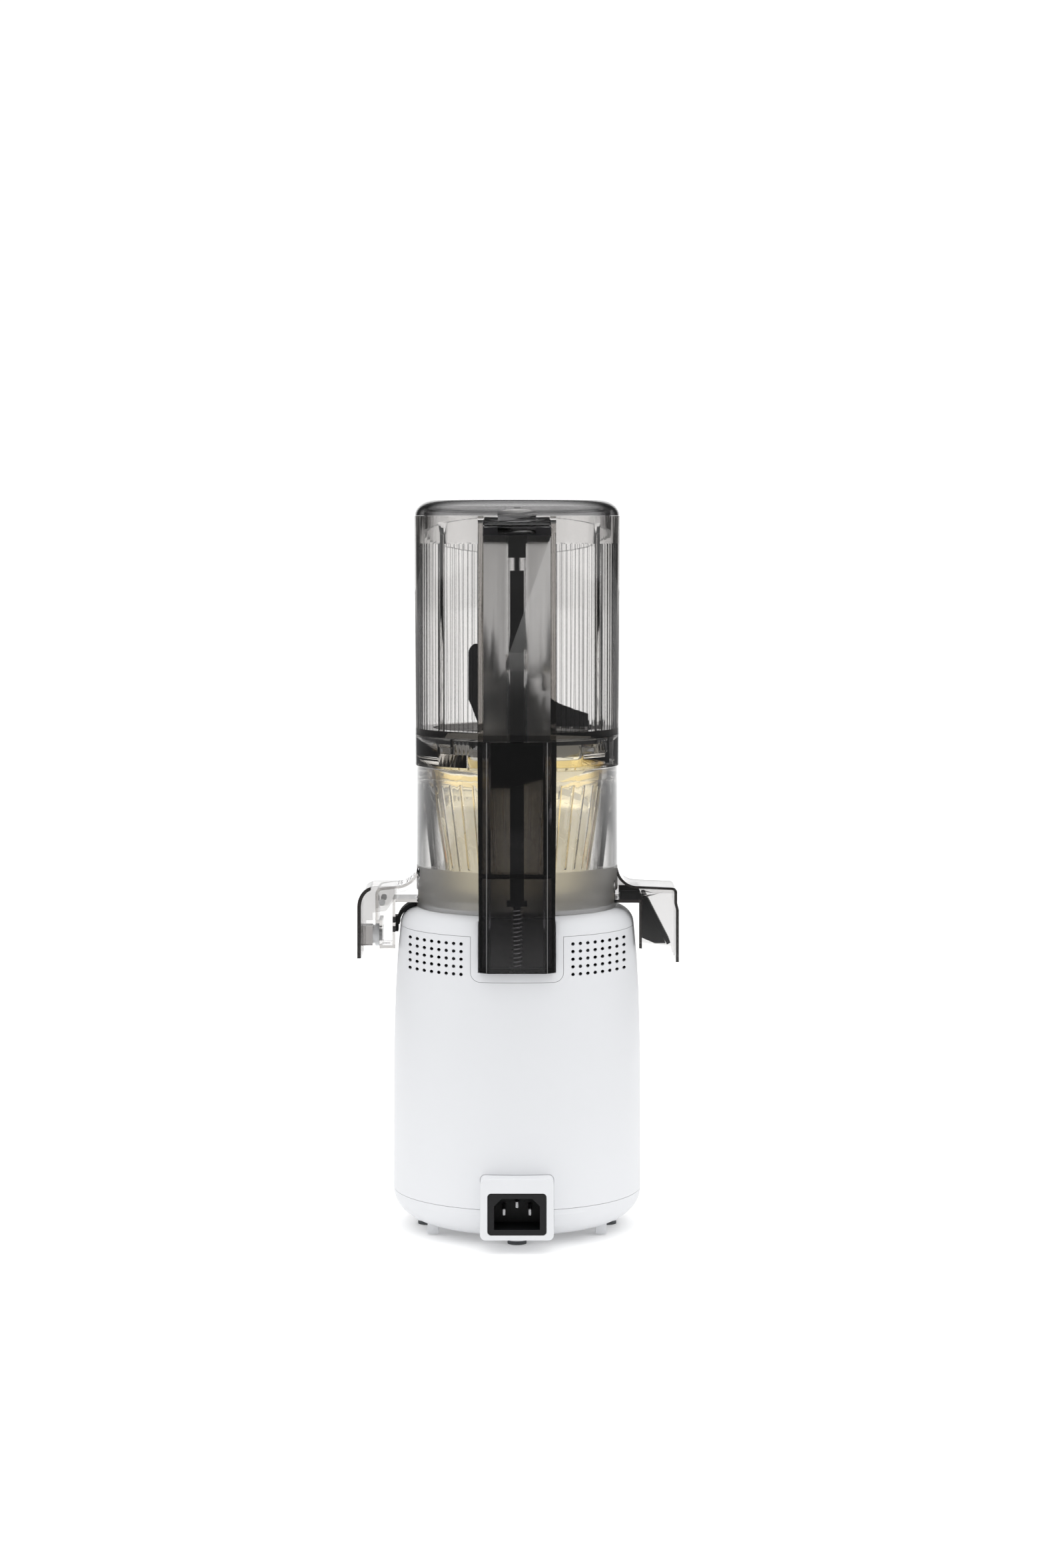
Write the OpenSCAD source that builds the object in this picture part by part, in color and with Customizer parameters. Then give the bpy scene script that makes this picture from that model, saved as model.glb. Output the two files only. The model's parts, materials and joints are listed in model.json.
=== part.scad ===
// Self-feeding cold press juicer standing on its feet. The drive axis is Z, the control dial
// faces -Y, the juice spout points along +X, the pulp spout along -X and the grip along +Y.

/* [Base] */
// Largest radius of the motor base
base_r = 68.6; // [66:0.1:72]
// Clear height under the base
foot_h = 4; // [3:0.1:6]
// Height of the bottom cover
cover_h = 17.5; // [16:0.1:20]
// Height of the main shell between its two seams
shell_h = 145.8; // [142:0.1:160]
// Radius of the rounded shoulder
shoulder_round = 10; // [9:0.1:11]
// How far the side leans in at the upper seam
side_drop = 3.7; // [3:0.1:4.5]
// Radial reach of the rounded bottom edge
edge_reach = 22; // [18:0.1:25]
// Wall of the base mouldings
shell_wall = 2.8; // [2.2:0.1:3.2]

/* [Vents and recess] */
// Vent holes in a row
vent_cols = 8; // [4:1:8]
// Rows of vent holes
vent_rows = 5; // [3:1:5]
// Distance between vent holes
vent_pitch = 4.05; // [3.6:0.05:4.1]
// Diameter of a vent hole
vent_d = 1.9; // [1.4:0.1:2.4]
// Width of the frame round the grip recess
pocket_w = 50; // [48:0.1:54]
// Depth of that frame below the upper seam
pocket_drop = 24; // [22:0.1:26]
// Corner radius of that frame
pocket_corner = 5; // [3:0.1:7]

/* [Mains inlet] */
// Width of the white surround
surround_w = 39.4; // [37:0.1:44]
// Height of the white surround
surround_h = 32.6; // [30:0.1:36]
// How far the surround's face stands out past the base
surround_out = 10.4; // [8:0.1:15]
// Width of the black inlet face
inlet_w = 31.5; // [30:0.1:33]
// Height of the black inlet face
inlet_h = 22.3; // [21:0.1:23.5]
// Width of the inlet cavity
cavity_w = 24.5; // [24:0.1:26]
// Height of the inlet cavity
cavity_h = 16.5; // [16:0.1:17]
// Distance between the two outer pins
pin_pitch = 14; // [13:0.1:15]

/* [Dial] */
// Height of the dial centre above the table
dial_z = 96; // [80:1:110]
// Radius of the dial
dial_r = 17; // [14:0.1:20]
// How far the dial's face stands out past the base
dial_out = 10.4; // [8:0.1:15]

/* [Juicing chamber] */
// How far the chamber skirt stands in from the base's largest radius
drum_inset = 12.7; // [12.4:0.1:13.6]
// Wall of the chamber skirt
drum_wall = 2.3; // [1.8:0.1:2.6]
// Height of the chamber above the base
drum_h = 94.9; // [90:0.1:100]
// How far the thick ring at the top of the chamber stands out past its skirt
ring_proud = 0.9; // [0.6:0.1:2.1]
// Height of that ring
ring_h = 17.5; // [16:0.1:20]
// Gap between the skirt and the inside of the bowl at its top
bowl_gap = 2.4; // [2.2:0.1:3.1]
// How much the bowl narrows from its top to its floor
bowl_taper = 6.9; // [6.2:0.1:7.7]
// Wall of the bowl
bowl_wall = 1.8; // [1.5:0.1:2]
// Gap for the juice between the strainer and the bowl under the rim
juice_gap_top = 3.2; // [2.7:0.1:3.7]
// Gap for the juice between the strainer and the bowl at the floor
juice_gap_low = 4.9; // [3.8:0.1:5.3]
// Wall of the strainer
strainer_wall = 1.6; // [1.2:0.1:2]
// Slots round the strainer
strainer_slots = 36; // [24:1:48]

/* [Auger] */
// Gap between the auger body and the strainer at the foot
press_gap_low = 3.2; // [2.8:0.1:4.8]
// Gap between the auger body and the strainer at its shoulder
press_gap_top = 3.8; // [3:0.1:5]
// Height of the auger body
auger_h = 50.5; // [44:0.1:52]
// Gap between the feed wing's low end and the hopper
wing_gap = 14.9; // [12.4:0.1:18]
// Height of the feed wing's tall end above the hopper's foot
wing_h = 50; // [40:0.1:56]

/* [Hopper] */
// How much wider the hopper's rim is than its foot, in radius
hopper_flare = 0.5; // [0.2:0.1:1.2]
// Height of the hopper
hopper_h = 121.1; // [115:0.1:130]
// Wall of the hopper at its foot
hopper_wall = 2.4; // [2.2:0.1:2.8]
// Flutes round the inside of the hopper
flutes = 120; // [60:1:120]
// Depth of a flute
flute_depth = 0.7; // [0.4:0.1:0.9]
// Width of the rear column that hides the interlock rod
column_w = 42; // [40:0.1:43]
// Depth of the column behind the hopper
column_deep = 14.2; // [13.2:0.1:17]
// Angle that the hopper turns to unlock from the chamber
twist = 12; // [8:1:14]

/* [Lid] */
// Height of the lid
lid_h = 8.4; // [7.5:0.1:10]
// How far the lid's edge stands in from the hopper's rim
lid_inset = 0.4; // [0.1:0.1:1]
// Depth of the lid's inner skirt at the front
skirt_h = 21.6; // [16:0.1:24]
// Depth of the hinge axis below the hopper rim
hinge_drop = 3.5; // [3.2:0.1:4]

/* [Grip] */
// Width of the grip at its top
grip_top_w = 42.6; // [41:0.1:43]
// Width of the grip at its foot
grip_low_w = 40.6; // [39:0.1:42]
// Depth of the grip foot below the upper seam
grip_drop = 18.6; // [17:0.1:20]
// Wall of the grip
grip_wall = 2.4; // [2:0.1:3]

/* [Spouts] */
// Height of the spout decks above the chamber foot
deck_h = 11.6; // [11:0.1:13]
// Radius of the sweep from the chamber into a deck
deck_sweep = 12.5; // [10:0.1:13]
// Half width of the juice spout body
juice_half = 12.5; // [11:0.1:14]
// Half width of the pulp spout body
pulp_half = 15.4; // [14:0.1:17]
// Wall of the spouts
spout_wall = 1.6; // [1.3:0.1:1.8]
// Depth of the juice spout below the chamber foot
spout_drop = 23; // [21:0.1:25]
// Reach of the juice cap from the spout's back wall
cap_reach = 21; // [20:0.1:23]
// Reach of the pulp spout from its back wall
pulp_reach = 22; // [20:0.1:24]
// Radius of the juice outlet
mouth_r = 5.3; // [4.5:0.1:5.6]

/* [Drive] */
// How far the gearbox stands in from the base's largest radius
gearbox_inset = 25.6; // [25:0.1:29]
// Teeth of the sun gear
sun_teeth = 18; // [12:6:18]
// Teeth of a planet gear
planet_teeth = 27; // [21:6:27]
// Width of the gears
gear_w = 12; // [10:0.5:14]
// Width across flats of the drive hexagon
hex_af = 12; // [10:0.1:13]
// How far the motor can stands in from the base's largest radius
motor_inset = 31.6; // [29:0.1:34]
// Height of the motor can
motor_h = 52; // [48:0.1:56]

/* [Hidden] */
$fn = 96;

// Overrun of a cut past the face it opens
over = 1;
// Gap between pieces that are fixed to each other
seat_gap = 0.05;
// Shadow gap between visible mouldings
seam_gap = 0.2;
// Running gap between a moving piece and what it passes
run_gap = 0.4;
// Radial clearance of a pin or shaft that turns
pin_gap = 0.05;

// Colours, as the photograph shows them
white = [0.89, 0.895, 0.91];
smoke = [0.36, 0.36, 0.36, 0.55];
dark_smoke = [0.15, 0.15, 0.16, 0.92];
amber = [0.72, 0.55, 0.28];
cream = [0.88, 0.86, 0.78];
black = [0.05, 0.05, 0.055];
steel = [0.7, 0.7, 0.72];
copper = [0.72, 0.42, 0.22];
green = [0.1, 0.35, 0.2];

// Levels of the main pieces
shell_z = foot_h + cover_h;
shoulder_z = shell_z + shell_h;
base_top_z = shoulder_z + shoulder_round;
drum_seat = 0.3;
drum_z = base_top_z + drum_seat;
drum_top_z = drum_z + drum_h;
hopper_z = drum_top_z + run_gap;
hopper_top_z = hopper_z + hopper_h;
lid_z = hopper_top_z + run_gap;

// The side of the base leans in along a power curve, with the round shoulder above it
side_power = 4.5;
side_steps = 8;
arc_steps = 9;
function side_r(z) = base_r - side_drop * pow(max(0, (z - shell_z) / shell_h), side_power);
shoulder_x = side_r(shoulder_z) - shoulder_round;

// Radii of the chamber, the hopper and the lid, from the base outwards and then inwards
drum_r = base_r - drum_inset;
ring_r = drum_r + ring_proud;
bowl_top_r = drum_r - drum_wall - bowl_gap;
bowl_low_r = bowl_top_r - bowl_taper;
strainer_top_r = bowl_top_r - juice_gap_top;
strainer_low_r = bowl_low_r - juice_gap_low;
hopper_low_r = ring_r;
hopper_top_r = hopper_low_r + hopper_flare;
hopper_in_r = hopper_low_r - hopper_wall;
column_y = hopper_low_r + column_deep;
lid_r = hopper_top_r - lid_inset;
surround_y = base_r + surround_out;
dial_y = base_r + dial_out;
motor_r = base_r - motor_inset;
gearbox_r = base_r - gearbox_inset;

// Points of an elliptical arc about a centre, between two angles
function arc(cx, cz, rx, rz, from, to, n = arc_steps) =
    [for (i = [0:n]) let (a = from + (to - from) * i / n) [cx + rx * cos(a), cz + rz * sin(a)]];
function flip(list) = [for (i = [len(list) - 1:-1:0]) list[i]];

// The base's side between two heights, set in by a wall
function side_line(z0, z1, inset) =
    [for (i = [0:side_steps]) let (z = z0 + (z1 - z0) * i / side_steps) [side_r(z) - inset, z]];

module ring(ro, ri, h) {
    difference() {
        cylinder(r = ro, h = h);
        translate([0, 0, -over]) cylinder(r = ri, h = h + 2 * over);
    }
}

// A block centred on X and Y that stands on z = 0
module block(w, d, h) {
    translate([-w / 2, -d / 2, 0]) cube([w, d, h]);
}

// Extrudes an outline drawn in X and Z along Y, from y0 to y1
module along_y(y0, y1) {
    translate([0, y1, 0]) rotate([90, 0, 0]) linear_extrude(y1 - y0) children();
}

// Extrudes an outline drawn in Y and Z along X, from x0 to x1
module along_x(x0, x1) {
    translate([x0, 0, 0]) rotate([90, 0, 90]) linear_extrude(x1 - x0) children();
}

module pin_y(r, y0, y1) {
    along_y(y0, y1) circle(r);
}

module pin_x(r, x0, x1) {
    along_x(x0, x1) circle(r);
}

// A pie slice between two angles
module slice(r, a0, a1, h) {
    linear_extrude(h) polygon(concat([[0, 0]], arc(0, 0, r, r, a0, a1)));
}

// A rectangle with round lower corners that stands on the line z = 0
module cup_outline(w, h, r) {
    translate([-w / 2, r]) square([w, h - r]);
    translate([-w / 2 + r, 0]) square([w - 2 * r, h]);
    for (side = [-1, 1]) translate([side * (w / 2 - r), r]) circle(r);
}

// A centred rectangle with four round corners
module plate_outline(w, h, r) {
    square([w, h - 2 * r], center = true);
    square([w - 2 * r, h], center = true);
    for (sx = [-1, 1], sy = [-1, 1]) translate([sx * (w / 2 - r), sy * (h / 2 - r)]) circle(r);
}

// One copy of the children at each of n places on a circle
module around(n, r, start = 0) {
    for (i = [0:n - 1]) rotate([0, 0, start + 360 * i / n]) translate([r, 0, 0]) children();
}

// Base mouldings

// What the upper base fills from a height upwards, set in by a wall
module base_solid(z0, inset) {
    rotate_extrude() polygon(concat(
        [[0, z0]],
        side_line(z0, shoulder_z, inset),
        arc(shoulder_x, shoulder_z, shoulder_round - inset, shoulder_round - inset, 0, 90),
        [[0, base_top_z - inset]]
    ));
}

// What the bottom cover fills, set in by a wall and running on above its edge
module cover_solid(inset, rise) {
    edge_x = base_r - edge_reach;
    edge_z = shell_z - seam_gap;
    rotate_extrude() polygon(concat(
        [[0, foot_h + inset]],
        arc(edge_x, edge_z, edge_reach - inset, edge_z - foot_h - inset, -90, 0),
        rise > 0 ? [[base_r - inset, edge_z + rise]] : [],
        [[0, edge_z + rise]]
    ));
}

// Levels and radii that several pieces share
lip_h = 3;
lip_t = 2;
drum_floor_rise = 5.9;
drum_floor_z = drum_z + drum_floor_rise;
floor_t = 2.5;
hub_r = 12;
hub_h = 7;
dome_r = 22;
shaft_r = 7.5;
motor_shaft_r = 4;
board_rise = 8;
board_z = foot_h + board_rise;
plate_t = 8;
motor_rise = 38;
motor_z = board_z + motor_rise;
gearbox_z = motor_z + motor_h + plate_t;
gear_rise = 4;
gear_z = gearbox_z + gear_rise;
gearbox_h = 28;
cover_z = gearbox_z + gearbox_h;
post_r = 5;
post_inset = 19.6;
post_at = base_r - post_inset;
screw_r = 1.5;
foot_inset = 18.6;
foot_at = base_r - foot_inset;
board_post_inset = 30.6;
board_post_at = base_r - board_post_inset;

// Grip and the recess that it hangs in
grip_z = shoulder_z - grip_drop;
grip_gap = 1.5;
grip_y = drum_r + grip_gap;
recess_gap = 0.5;
recess_y = grip_y - recess_gap;
recess_z = grip_z - recess_gap;
pocket_wall = 2.5;
pocket_z = shoulder_z - pocket_drop;
function grip_half(z) =
    (grip_low_w + (grip_top_w - grip_low_w) * (z - grip_z) / (drum_top_z - grip_z)) / 2;
recess_half = grip_half(base_top_z) + recess_gap;
rod_inset = 9;
rod_y = column_y - rod_inset;
rod_w = 7.5;
rod_t = 4.5;
switch_pin_r = 2;

// Mains inlet
surround_rise = 3.7;
surround_z = foot_h + surround_rise;
surround_round = 3;
surround_sink = 8.6;
surround_in_y = base_r - surround_sink;
inlet_rise = 13.8;
inlet_z = surround_z + inlet_rise;
inlet_sink = 0.8;
inlet_y = surround_y - inlet_sink;
inlet_deep = 20;
inlet_back = 2.3;
inlet_round = 2;

// Dial
dial_rim = 6.5;
dial_ring_r = dial_r + dial_rim;
dial_ring_out = 1.9;
dial_ring_y = base_r + dial_ring_out;
dial_floor_sink = 4.6;
dial_floor_y = base_r - dial_floor_sink;
dial_inner_sink = 11.1;
dial_inner_y = base_r - dial_inner_sink;
dial_shaft_r = 3;

// The block that frames the recess, grown by a gap
module pocket_block(grow) {
    h = base_top_z - pocket_z + 2 * grow + over;
    translate([0, 0, pocket_z - grow]) along_y(recess_y - pocket_wall - grow, base_r + over)
        cup_outline(pocket_w + 2 * grow, h, pocket_corner + grow);
}

vent_margin = 5.2;
vent_x = pocket_w / 2 + vent_margin;
vent_drop = 4.3;

module vents() {
    for (side = [-1, 1], col = [0:vent_cols - 1], row = [0:vent_rows - 1])
        translate([side * (vent_x + col * vent_pitch), 0, shoulder_z - vent_drop - row * vent_pitch])
            pin_y(vent_d / 2, 0, base_r);
}

module surround_outline(grow) {
    translate([0, surround_z + surround_h / 2])
        plate_outline(surround_w + 2 * grow, surround_h + 2 * grow, surround_round + grow);
}

module inlet_outline(grow) {
    translate([0, inlet_z]) plate_outline(inlet_w + 2 * grow, inlet_h + 2 * grow, inlet_round + grow);
}

// The three pin sections, grown by a gap
pin_w = 2;
pin_h = 4;
earth_rise = 4;
module pin_outlines(grow) {
    for (p = [[-pin_pitch / 2, 0], [pin_pitch / 2, 0], [0, earth_rise]])
        translate([p[0], inlet_z + p[1]]) square([pin_w + 2 * grow, pin_h + 2 * grow], center = true);
}

module base_shell() {
    color(white) difference() {
        rotate_extrude() polygon(concat(
            side_line(shell_z, shoulder_z - seam_gap, 0),
            flip(side_line(shell_z, shoulder_z - seam_gap, shell_wall))
        ));
        pocket_block(seam_gap);
        vents();
        along_y(0, surround_y) surround_outline(seam_gap);
        translate([0, 0, dial_z]) pin_y(dial_ring_r + seam_gap, -dial_y, 0);
    }
}

seal_r = 12;
seal_h = 3;
ring_seat_gap = 0.4;
ring_seat_r = drum_r - drum_wall - ring_seat_gap;
seat_wall = 2.3;

module shoulder_cover() {
    lip_r = side_r(shoulder_z) - shell_wall - seat_gap;
    dome_top = drum_floor_z - run_gap;
    inside_z = base_top_z - shell_wall;
    color(white) difference() {
        union() {
            difference() {
                base_solid(shoulder_z, 0);
                base_solid(shoulder_z - over, shell_wall);
            }
            translate([0, 0, shoulder_z - lip_h]) ring(lip_r, lip_r - lip_t, 2 * lip_h);
            translate([0, 0, inside_z]) cylinder(r = dome_r, h = dome_top - inside_z);
            translate([0, 0, base_top_z - over])
                ring(ring_seat_r, ring_seat_r - seat_wall, seat_wall + over);
            intersection() {
                pocket_block(0);
                base_solid(pocket_z, 0);
            }
        }
        translate([0, 0, recess_z]) along_y(recess_y, base_r + over)
            translate([-recess_half, 0]) square([2 * recess_half, base_top_z - recess_z + over]);
        translate([0, rod_y, pocket_z - over]) cylinder(r = switch_pin_r + run_gap, h = pocket_drop);
        cylinder(r = shaft_r + run_gap, h = dome_top + over);
        translate([0, 0, inside_z - over]) cylinder(r = seal_r + seat_gap, h = seal_h + over);
    }
}

foot_pad_h = 2.2;
foot_r = 5.2;
stem_r = 2.5;
stem_h = 4;

module bottom_cover() {
    boss_r = 6;
    stub_w = 6;
    stub_side = 22.6;
    stub_x = base_r - stub_side;
    stub_back = 40.6;
    stub_y = base_r - stub_back;
    stub_z = 0.8;
    stub_h = 6.4;
    relief_side = 5;
    relief_w = surround_w + 2 * relief_side;
    lip_in = base_r - shell_wall - lip_t;
    color(white) difference() {
        union() {
            difference() {
                cover_solid(0, 0);
                cover_solid(shell_wall, over);
            }
            translate([0, 0, shell_z - lip_h])
                ring(base_r - shell_wall + run_gap, lip_in, lip_h - seam_gap);
            translate([0, 0, shell_z - lip_h]) ring(base_r - shell_wall - seat_gap, lip_in, 2 * lip_h);
            around(4, foot_at) translate([0, 0, foot_pad_h]) cylinder(r = boss_r, h = stem_h);
            around(4, board_post_at, 45) translate([0, 0, foot_h + shell_wall / 2])
                cylinder(r = boss_r, h = board_z - foot_h - shell_wall / 2);
            for (side = [-1, 1]) translate([side * stub_x, stub_y, stub_z]) block(stub_w, stub_w, stub_h);
        }
        around(4, foot_at) cylinder(r = stem_r + seat_gap, h = board_z);
        around(4, board_post_at, 45) cylinder(r = screw_r + seat_gap, h = board_z + over);
        around(4, board_post_at, 45) translate([0, 0, foot_h - over])
            cylinder(r = 2 * screw_r + seam_gap, h = over + screw_r);
        along_y(surround_in_y - over, surround_y) surround_outline(seam_gap);
        along_y(inlet_y - inlet_deep - inlet_back - over, surround_y) inlet_outline(run_gap);
        translate([0, base_r, shell_z - seam_gap]) block(relief_w, base_r / 2, 2 * lip_h);
    }
}

module rubber_feet() {
    color(black) around(4, foot_at) {
        cylinder(r = foot_r, h = foot_pad_h);
        cylinder(r = stem_r, h = foot_pad_h + stem_h);
    }
}

module bottom_screws() {
    color(steel) around(4, board_post_at, 45) {
        translate([0, 0, foot_h + seat_gap]) cylinder(r = screw_r, h = board_z - foot_h);
        translate([0, 0, foot_h]) cylinder(r = 2 * screw_r, h = screw_r - seat_gap);
    }
}

module inlet_surround() {
    flange_side = 3;
    flange_w = surround_w + 2 * flange_side;
    flange_z = shell_z + lip_h + over;
    flange_h = surround_z + surround_h + lip_h - flange_z;
    color(white) difference() {
        union() {
            along_y(surround_in_y, surround_y) surround_outline(0);
            translate([0, surround_in_y, flange_z]) block(flange_w, lip_t, flange_h);
        }
        along_y(surround_in_y - 2 * over, surround_y + over) inlet_outline(seat_gap);
    }
}

module inlet_socket() {
    slope = 4;
    side = cavity_w / 2;
    top = cavity_h / 2;
    back_y = inlet_y - inlet_deep;
    color(black) difference() {
        along_y(back_y - inlet_back, inlet_y) inlet_outline(0);
        along_y(back_y, inlet_y + over) translate([0, inlet_z]) polygon([
            [-side, -top], [side, -top], [side, top - slope], [side - slope, top],
            [slope - side, top], [-side, top - slope]
        ]);
        along_y(back_y - inlet_back - over, back_y + over) pin_outlines(seat_gap);
    }
}

module inlet_pins() {
    pin_in = 6;
    pin_out = 15;
    back_y = inlet_y - inlet_deep;
    color(steel) along_y(back_y - pin_in, back_y + pin_out) pin_outlines(0);
}

module dial_ring() {
    flange = 2.5;
    color(white) translate([0, 0, dial_z]) difference() {
        union() {
            pin_y(dial_ring_r, -dial_ring_y, -dial_inner_y);
            pin_y(dial_ring_r + flange, -dial_inner_y - lip_t, -dial_inner_y);
        }
        pin_y(dial_r + run_gap, -dial_ring_y - over, -dial_floor_y);
        pin_y(dial_shaft_r + run_gap, -dial_ring_y, 0);
    }
}

module rotary_switch() {
    switch_r = 11;
    switch_t = 13;
    color(black) translate([0, 0, dial_z]) difference() {
        pin_y(switch_r, -dial_inner_y + seat_gap, switch_t - dial_inner_y);
        pin_y(dial_shaft_r + pin_gap, -dial_inner_y - over, -dial_inner_y + switch_t - lip_t);
    }
}

board_t = 1.6;

module control_board() {
    board_inset = 20.6;
    board_r = base_r - board_inset;
    color(green) difference() {
        translate([0, 0, board_z]) cylinder(r = board_r, h = board_t);
        around(4, board_post_at, 45) cylinder(r = screw_r + seat_gap, h = gearbox_z);
    }
}

module board_parts() {
    can_r = 6;
    can_h = 11;
    chip_w = 14;
    chip_d = 10;
    chip_h = 5;
    part_inset = 12;
    part_at = board_post_at - part_inset;
    can_turn = 20;
    chip_turn = 80;
    color(black) translate([0, 0, board_z + board_t]) {
        around(3, part_at, can_turn) cylinder(r = can_r, h = can_h);
        around(3, part_at, chip_turn) block(chip_d, chip_w, chip_h);
    }
}

module motor_can() {
    color(steel) translate([0, 0, motor_z]) ring(motor_r, motor_r - can_wall, motor_h);
}

rotor_share = 0.5;
core_r = rotor_share * motor_r;
core_end = 5;
can_wall = 1.2;
stator_r = motor_r - can_wall - seat_gap;

module stator() {
    slots = 12;
    slot_w = 4;
    tooth_tip = 2.5;
    slot_r = core_r + tooth_tip;
    slot_back = 5.75;
    slot_deep = stator_r - slot_back - slot_r;
    color(steel) translate([0, 0, motor_z + core_end]) difference() {
        ring(stator_r, core_r + run_gap, motor_h - 2 * core_end);
        around(slots, slot_r) translate([slot_deep / 2, 0, -over])
            block(slot_deep, slot_w, motor_h);
    }
}

module motor_coils() {
    coil_margin = 3.6;
    coil_in = core_r + coil_margin;
    coil_out = stator_r - coil_margin;
    coil_h = core_end - seat_gap;
    color(copper) for (z = [motor_z, motor_z + motor_h - coil_h])
        translate([0, 0, z]) ring(coil_out, coil_in, coil_h);
}

bearing_r = 11;
bearing_h = 7;
output_bearing_r = 16;
output_bearing_h = 9;

// A disc with a bearing pocket open at its top
module bearing_plate(r, h) {
    difference() {
        cylinder(r = r, h = h);
        translate([0, 0, h - bearing_h]) cylinder(r = bearing_r + seat_gap, h = h);
        translate([0, 0, -over]) cylinder(r = bearing_r - lip_t, h = h);
    }
}

plate_h = plate_t - seat_gap;

module motor_lower_plate() {
    color(steel) translate([0, 0, motor_z - plate_t]) bearing_plate(motor_r + lip_t, plate_h);
}

module motor_upper_plate() {
    color(steel) translate([0, 0, gearbox_z - plate_t]) bearing_plate(gearbox_r, plate_h);
}

// A bearing drawn as one ring with a groove in each face
module bearing(ro, ri, h) {
    race = (ro - ri) / 4;
    sink = 0.8;
    difference() {
        ring(ro, ri, h);
        for (z = [-over, h - sink]) translate([0, 0, z]) ring(ro - race, ri + race, sink + over);
    }
}

module motor_bearings() {
    color(steel) for (z = [motor_z, gearbox_z]) translate([0, 0, z - seat_gap - bearing_h])
        bearing(bearing_r, motor_shaft_r + pin_gap, bearing_h - seat_gap);
}

// Involute gears, with the module that fills the gearbox
pressure = 25;
tip_share = 0.8;
root_share = 1.05;
ring_teeth = sun_teeth + 2 * planet_teeth;
gearbox_wall = 5.95;
ring_root = gearbox_r - gearbox_wall;
gear_m = ring_root / (ring_teeth / 2 + root_share);
addendum = tip_share * gear_m;
dedendum = root_share * gear_m;
play = 0.06;
flank_steps = 4;
carriers = 3;
planet_at = gear_m * (sun_teeth + planet_teeth) / 2;
planet_pin_r = 3;
function inv(a) = tan(a) * 180 / PI - a;

// Half of a tooth's angle at a radius, thinned by a play on each flank
function tooth_half(n, r, thin) = let (pitch = gear_m * n / 2, base = pitch * cos(pressure))
    90 / n + inv(pressure) - inv(acos(min(1, base / r))) - thin / pitch * 180 / PI;
function tooth_points(n, from, tip, thin) = let (
        start = max(from, gear_m * n / 2 * cos(pressure)),
        radii = [for (i = [0:flank_steps]) start + (tip - start) * i / flank_steps]
    ) concat([[from, tooth_half(n, start, thin)]], [for (r = radii) [r, tooth_half(n, r, thin)]]);
module gear_outline(n, out, in, thin) {
    pitch = gear_m * n / 2;
    side = tooth_points(n, pitch - in, pitch + out, thin);
    polygon([for (i = [0:n - 1], s = [-1, 1], k = [0:len(side) - 1])
        let (p = side[s < 0 ? k : len(side) - 1 - k], a = 360 * i / n + s * p[1])
        [p[0] * cos(a), p[0] * sin(a)]]);
}

carrier_gap = 1;
carrier_t = 6;
gear_top = gear_z + gear_w;
gearbox_screws_n = 6;
gearbox_screw_at = (gearbox_r + ring_root) / 2;

module ring_gear() {
    wide_r = ring_root + seam_gap;
    color(cream) difference() {
        translate([0, 0, gearbox_z]) cylinder(r = gearbox_r, h = gearbox_h);
        translate([0, 0, gear_top + carrier_gap]) cylinder(r = wide_r, h = cover_z);
        translate([0, 0, gearbox_z - over]) cylinder(r = wide_r, h = gear_z - gearbox_z);
        translate([0, 0, gearbox_z]) linear_extrude(cover_z)
            gear_outline(ring_teeth, dedendum, addendum, -play);
        around(gearbox_screws_n, gearbox_screw_at) translate([0, 0, gear_top])
            cylinder(r = screw_r + seat_gap, h = cover_z);
    }
}

bearing_seat = 1.5;
hub_wall = 4;
disc_t = 5;

module gearbox_cover() {
    post_h = base_top_z - shell_wall - cover_z - seat_gap;
    hub = output_bearing_r + hub_wall;
    bearing_z = cover_z + bearing_seat;
    color(white) difference() {
        union() {
            translate([0, 0, cover_z]) cylinder(r = gearbox_r, h = disc_t);
            translate([0, 0, cover_z]) cylinder(r = hub, h = bearing_seat + output_bearing_h);
            around(4, post_at, 45) translate([0, 0, cover_z]) cylinder(r = post_r, h = post_h);
            around(4, post_at, 45) translate([-post_r, 0, cover_z]) block(2 * post_r, post_r, disc_t);
        }
        translate([0, 0, bearing_z]) cylinder(r = output_bearing_r + seat_gap, h = output_bearing_h + over);
        translate([0, 0, cover_z - over]) cylinder(r = output_bearing_r - hub_wall, h = disc_t);
        around(gearbox_screws_n, gearbox_screw_at) translate([0, 0, gear_top])
            cylinder(r = screw_r + seat_gap, h = cover_z);
    }
}

module output_bearing() {
    color(steel) translate([0, 0, cover_z + bearing_seat])
        bearing(output_bearing_r, shaft_r + pin_gap, output_bearing_h);
}

module gearbox_screws() {
    grip_len = cover_z - gear_top - lip_t;
    color(steel) around(gearbox_screws_n, gearbox_screw_at) translate([0, 0, cover_z + disc_t]) {
        cylinder(r = 2 * screw_r - seam_gap, h = 2 * screw_r);
        translate([0, 0, -disc_t - grip_len]) cylinder(r = screw_r, h = disc_t + grip_len + over);
    }
}

module shaft_seal() {
    color(black) translate([0, 0, base_top_z - shell_wall])
        ring(seal_r, shaft_r + run_gap, seal_h - seat_gap);
}

switch_w = 20;
switch_d = 8;
switch_h = 14;
switch_z = pocket_z - switch_h - recess_gap;
switch_pin_len = 10;
rod_proud = 0.7;
rod_foot_z = grip_z - rod_proud;
pin_clear = 0.2;

module lid_switch() {
    switch_set = 3;
    color(black) difference() {
        translate([0, rod_y - switch_set, switch_z]) block(switch_w, switch_d, switch_h);
        translate([0, rod_y, rod_foot_z - pin_clear - switch_pin_len - over])
            cylinder(r = switch_pin_r + run_gap, h = switch_pin_len);
    }
}

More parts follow.
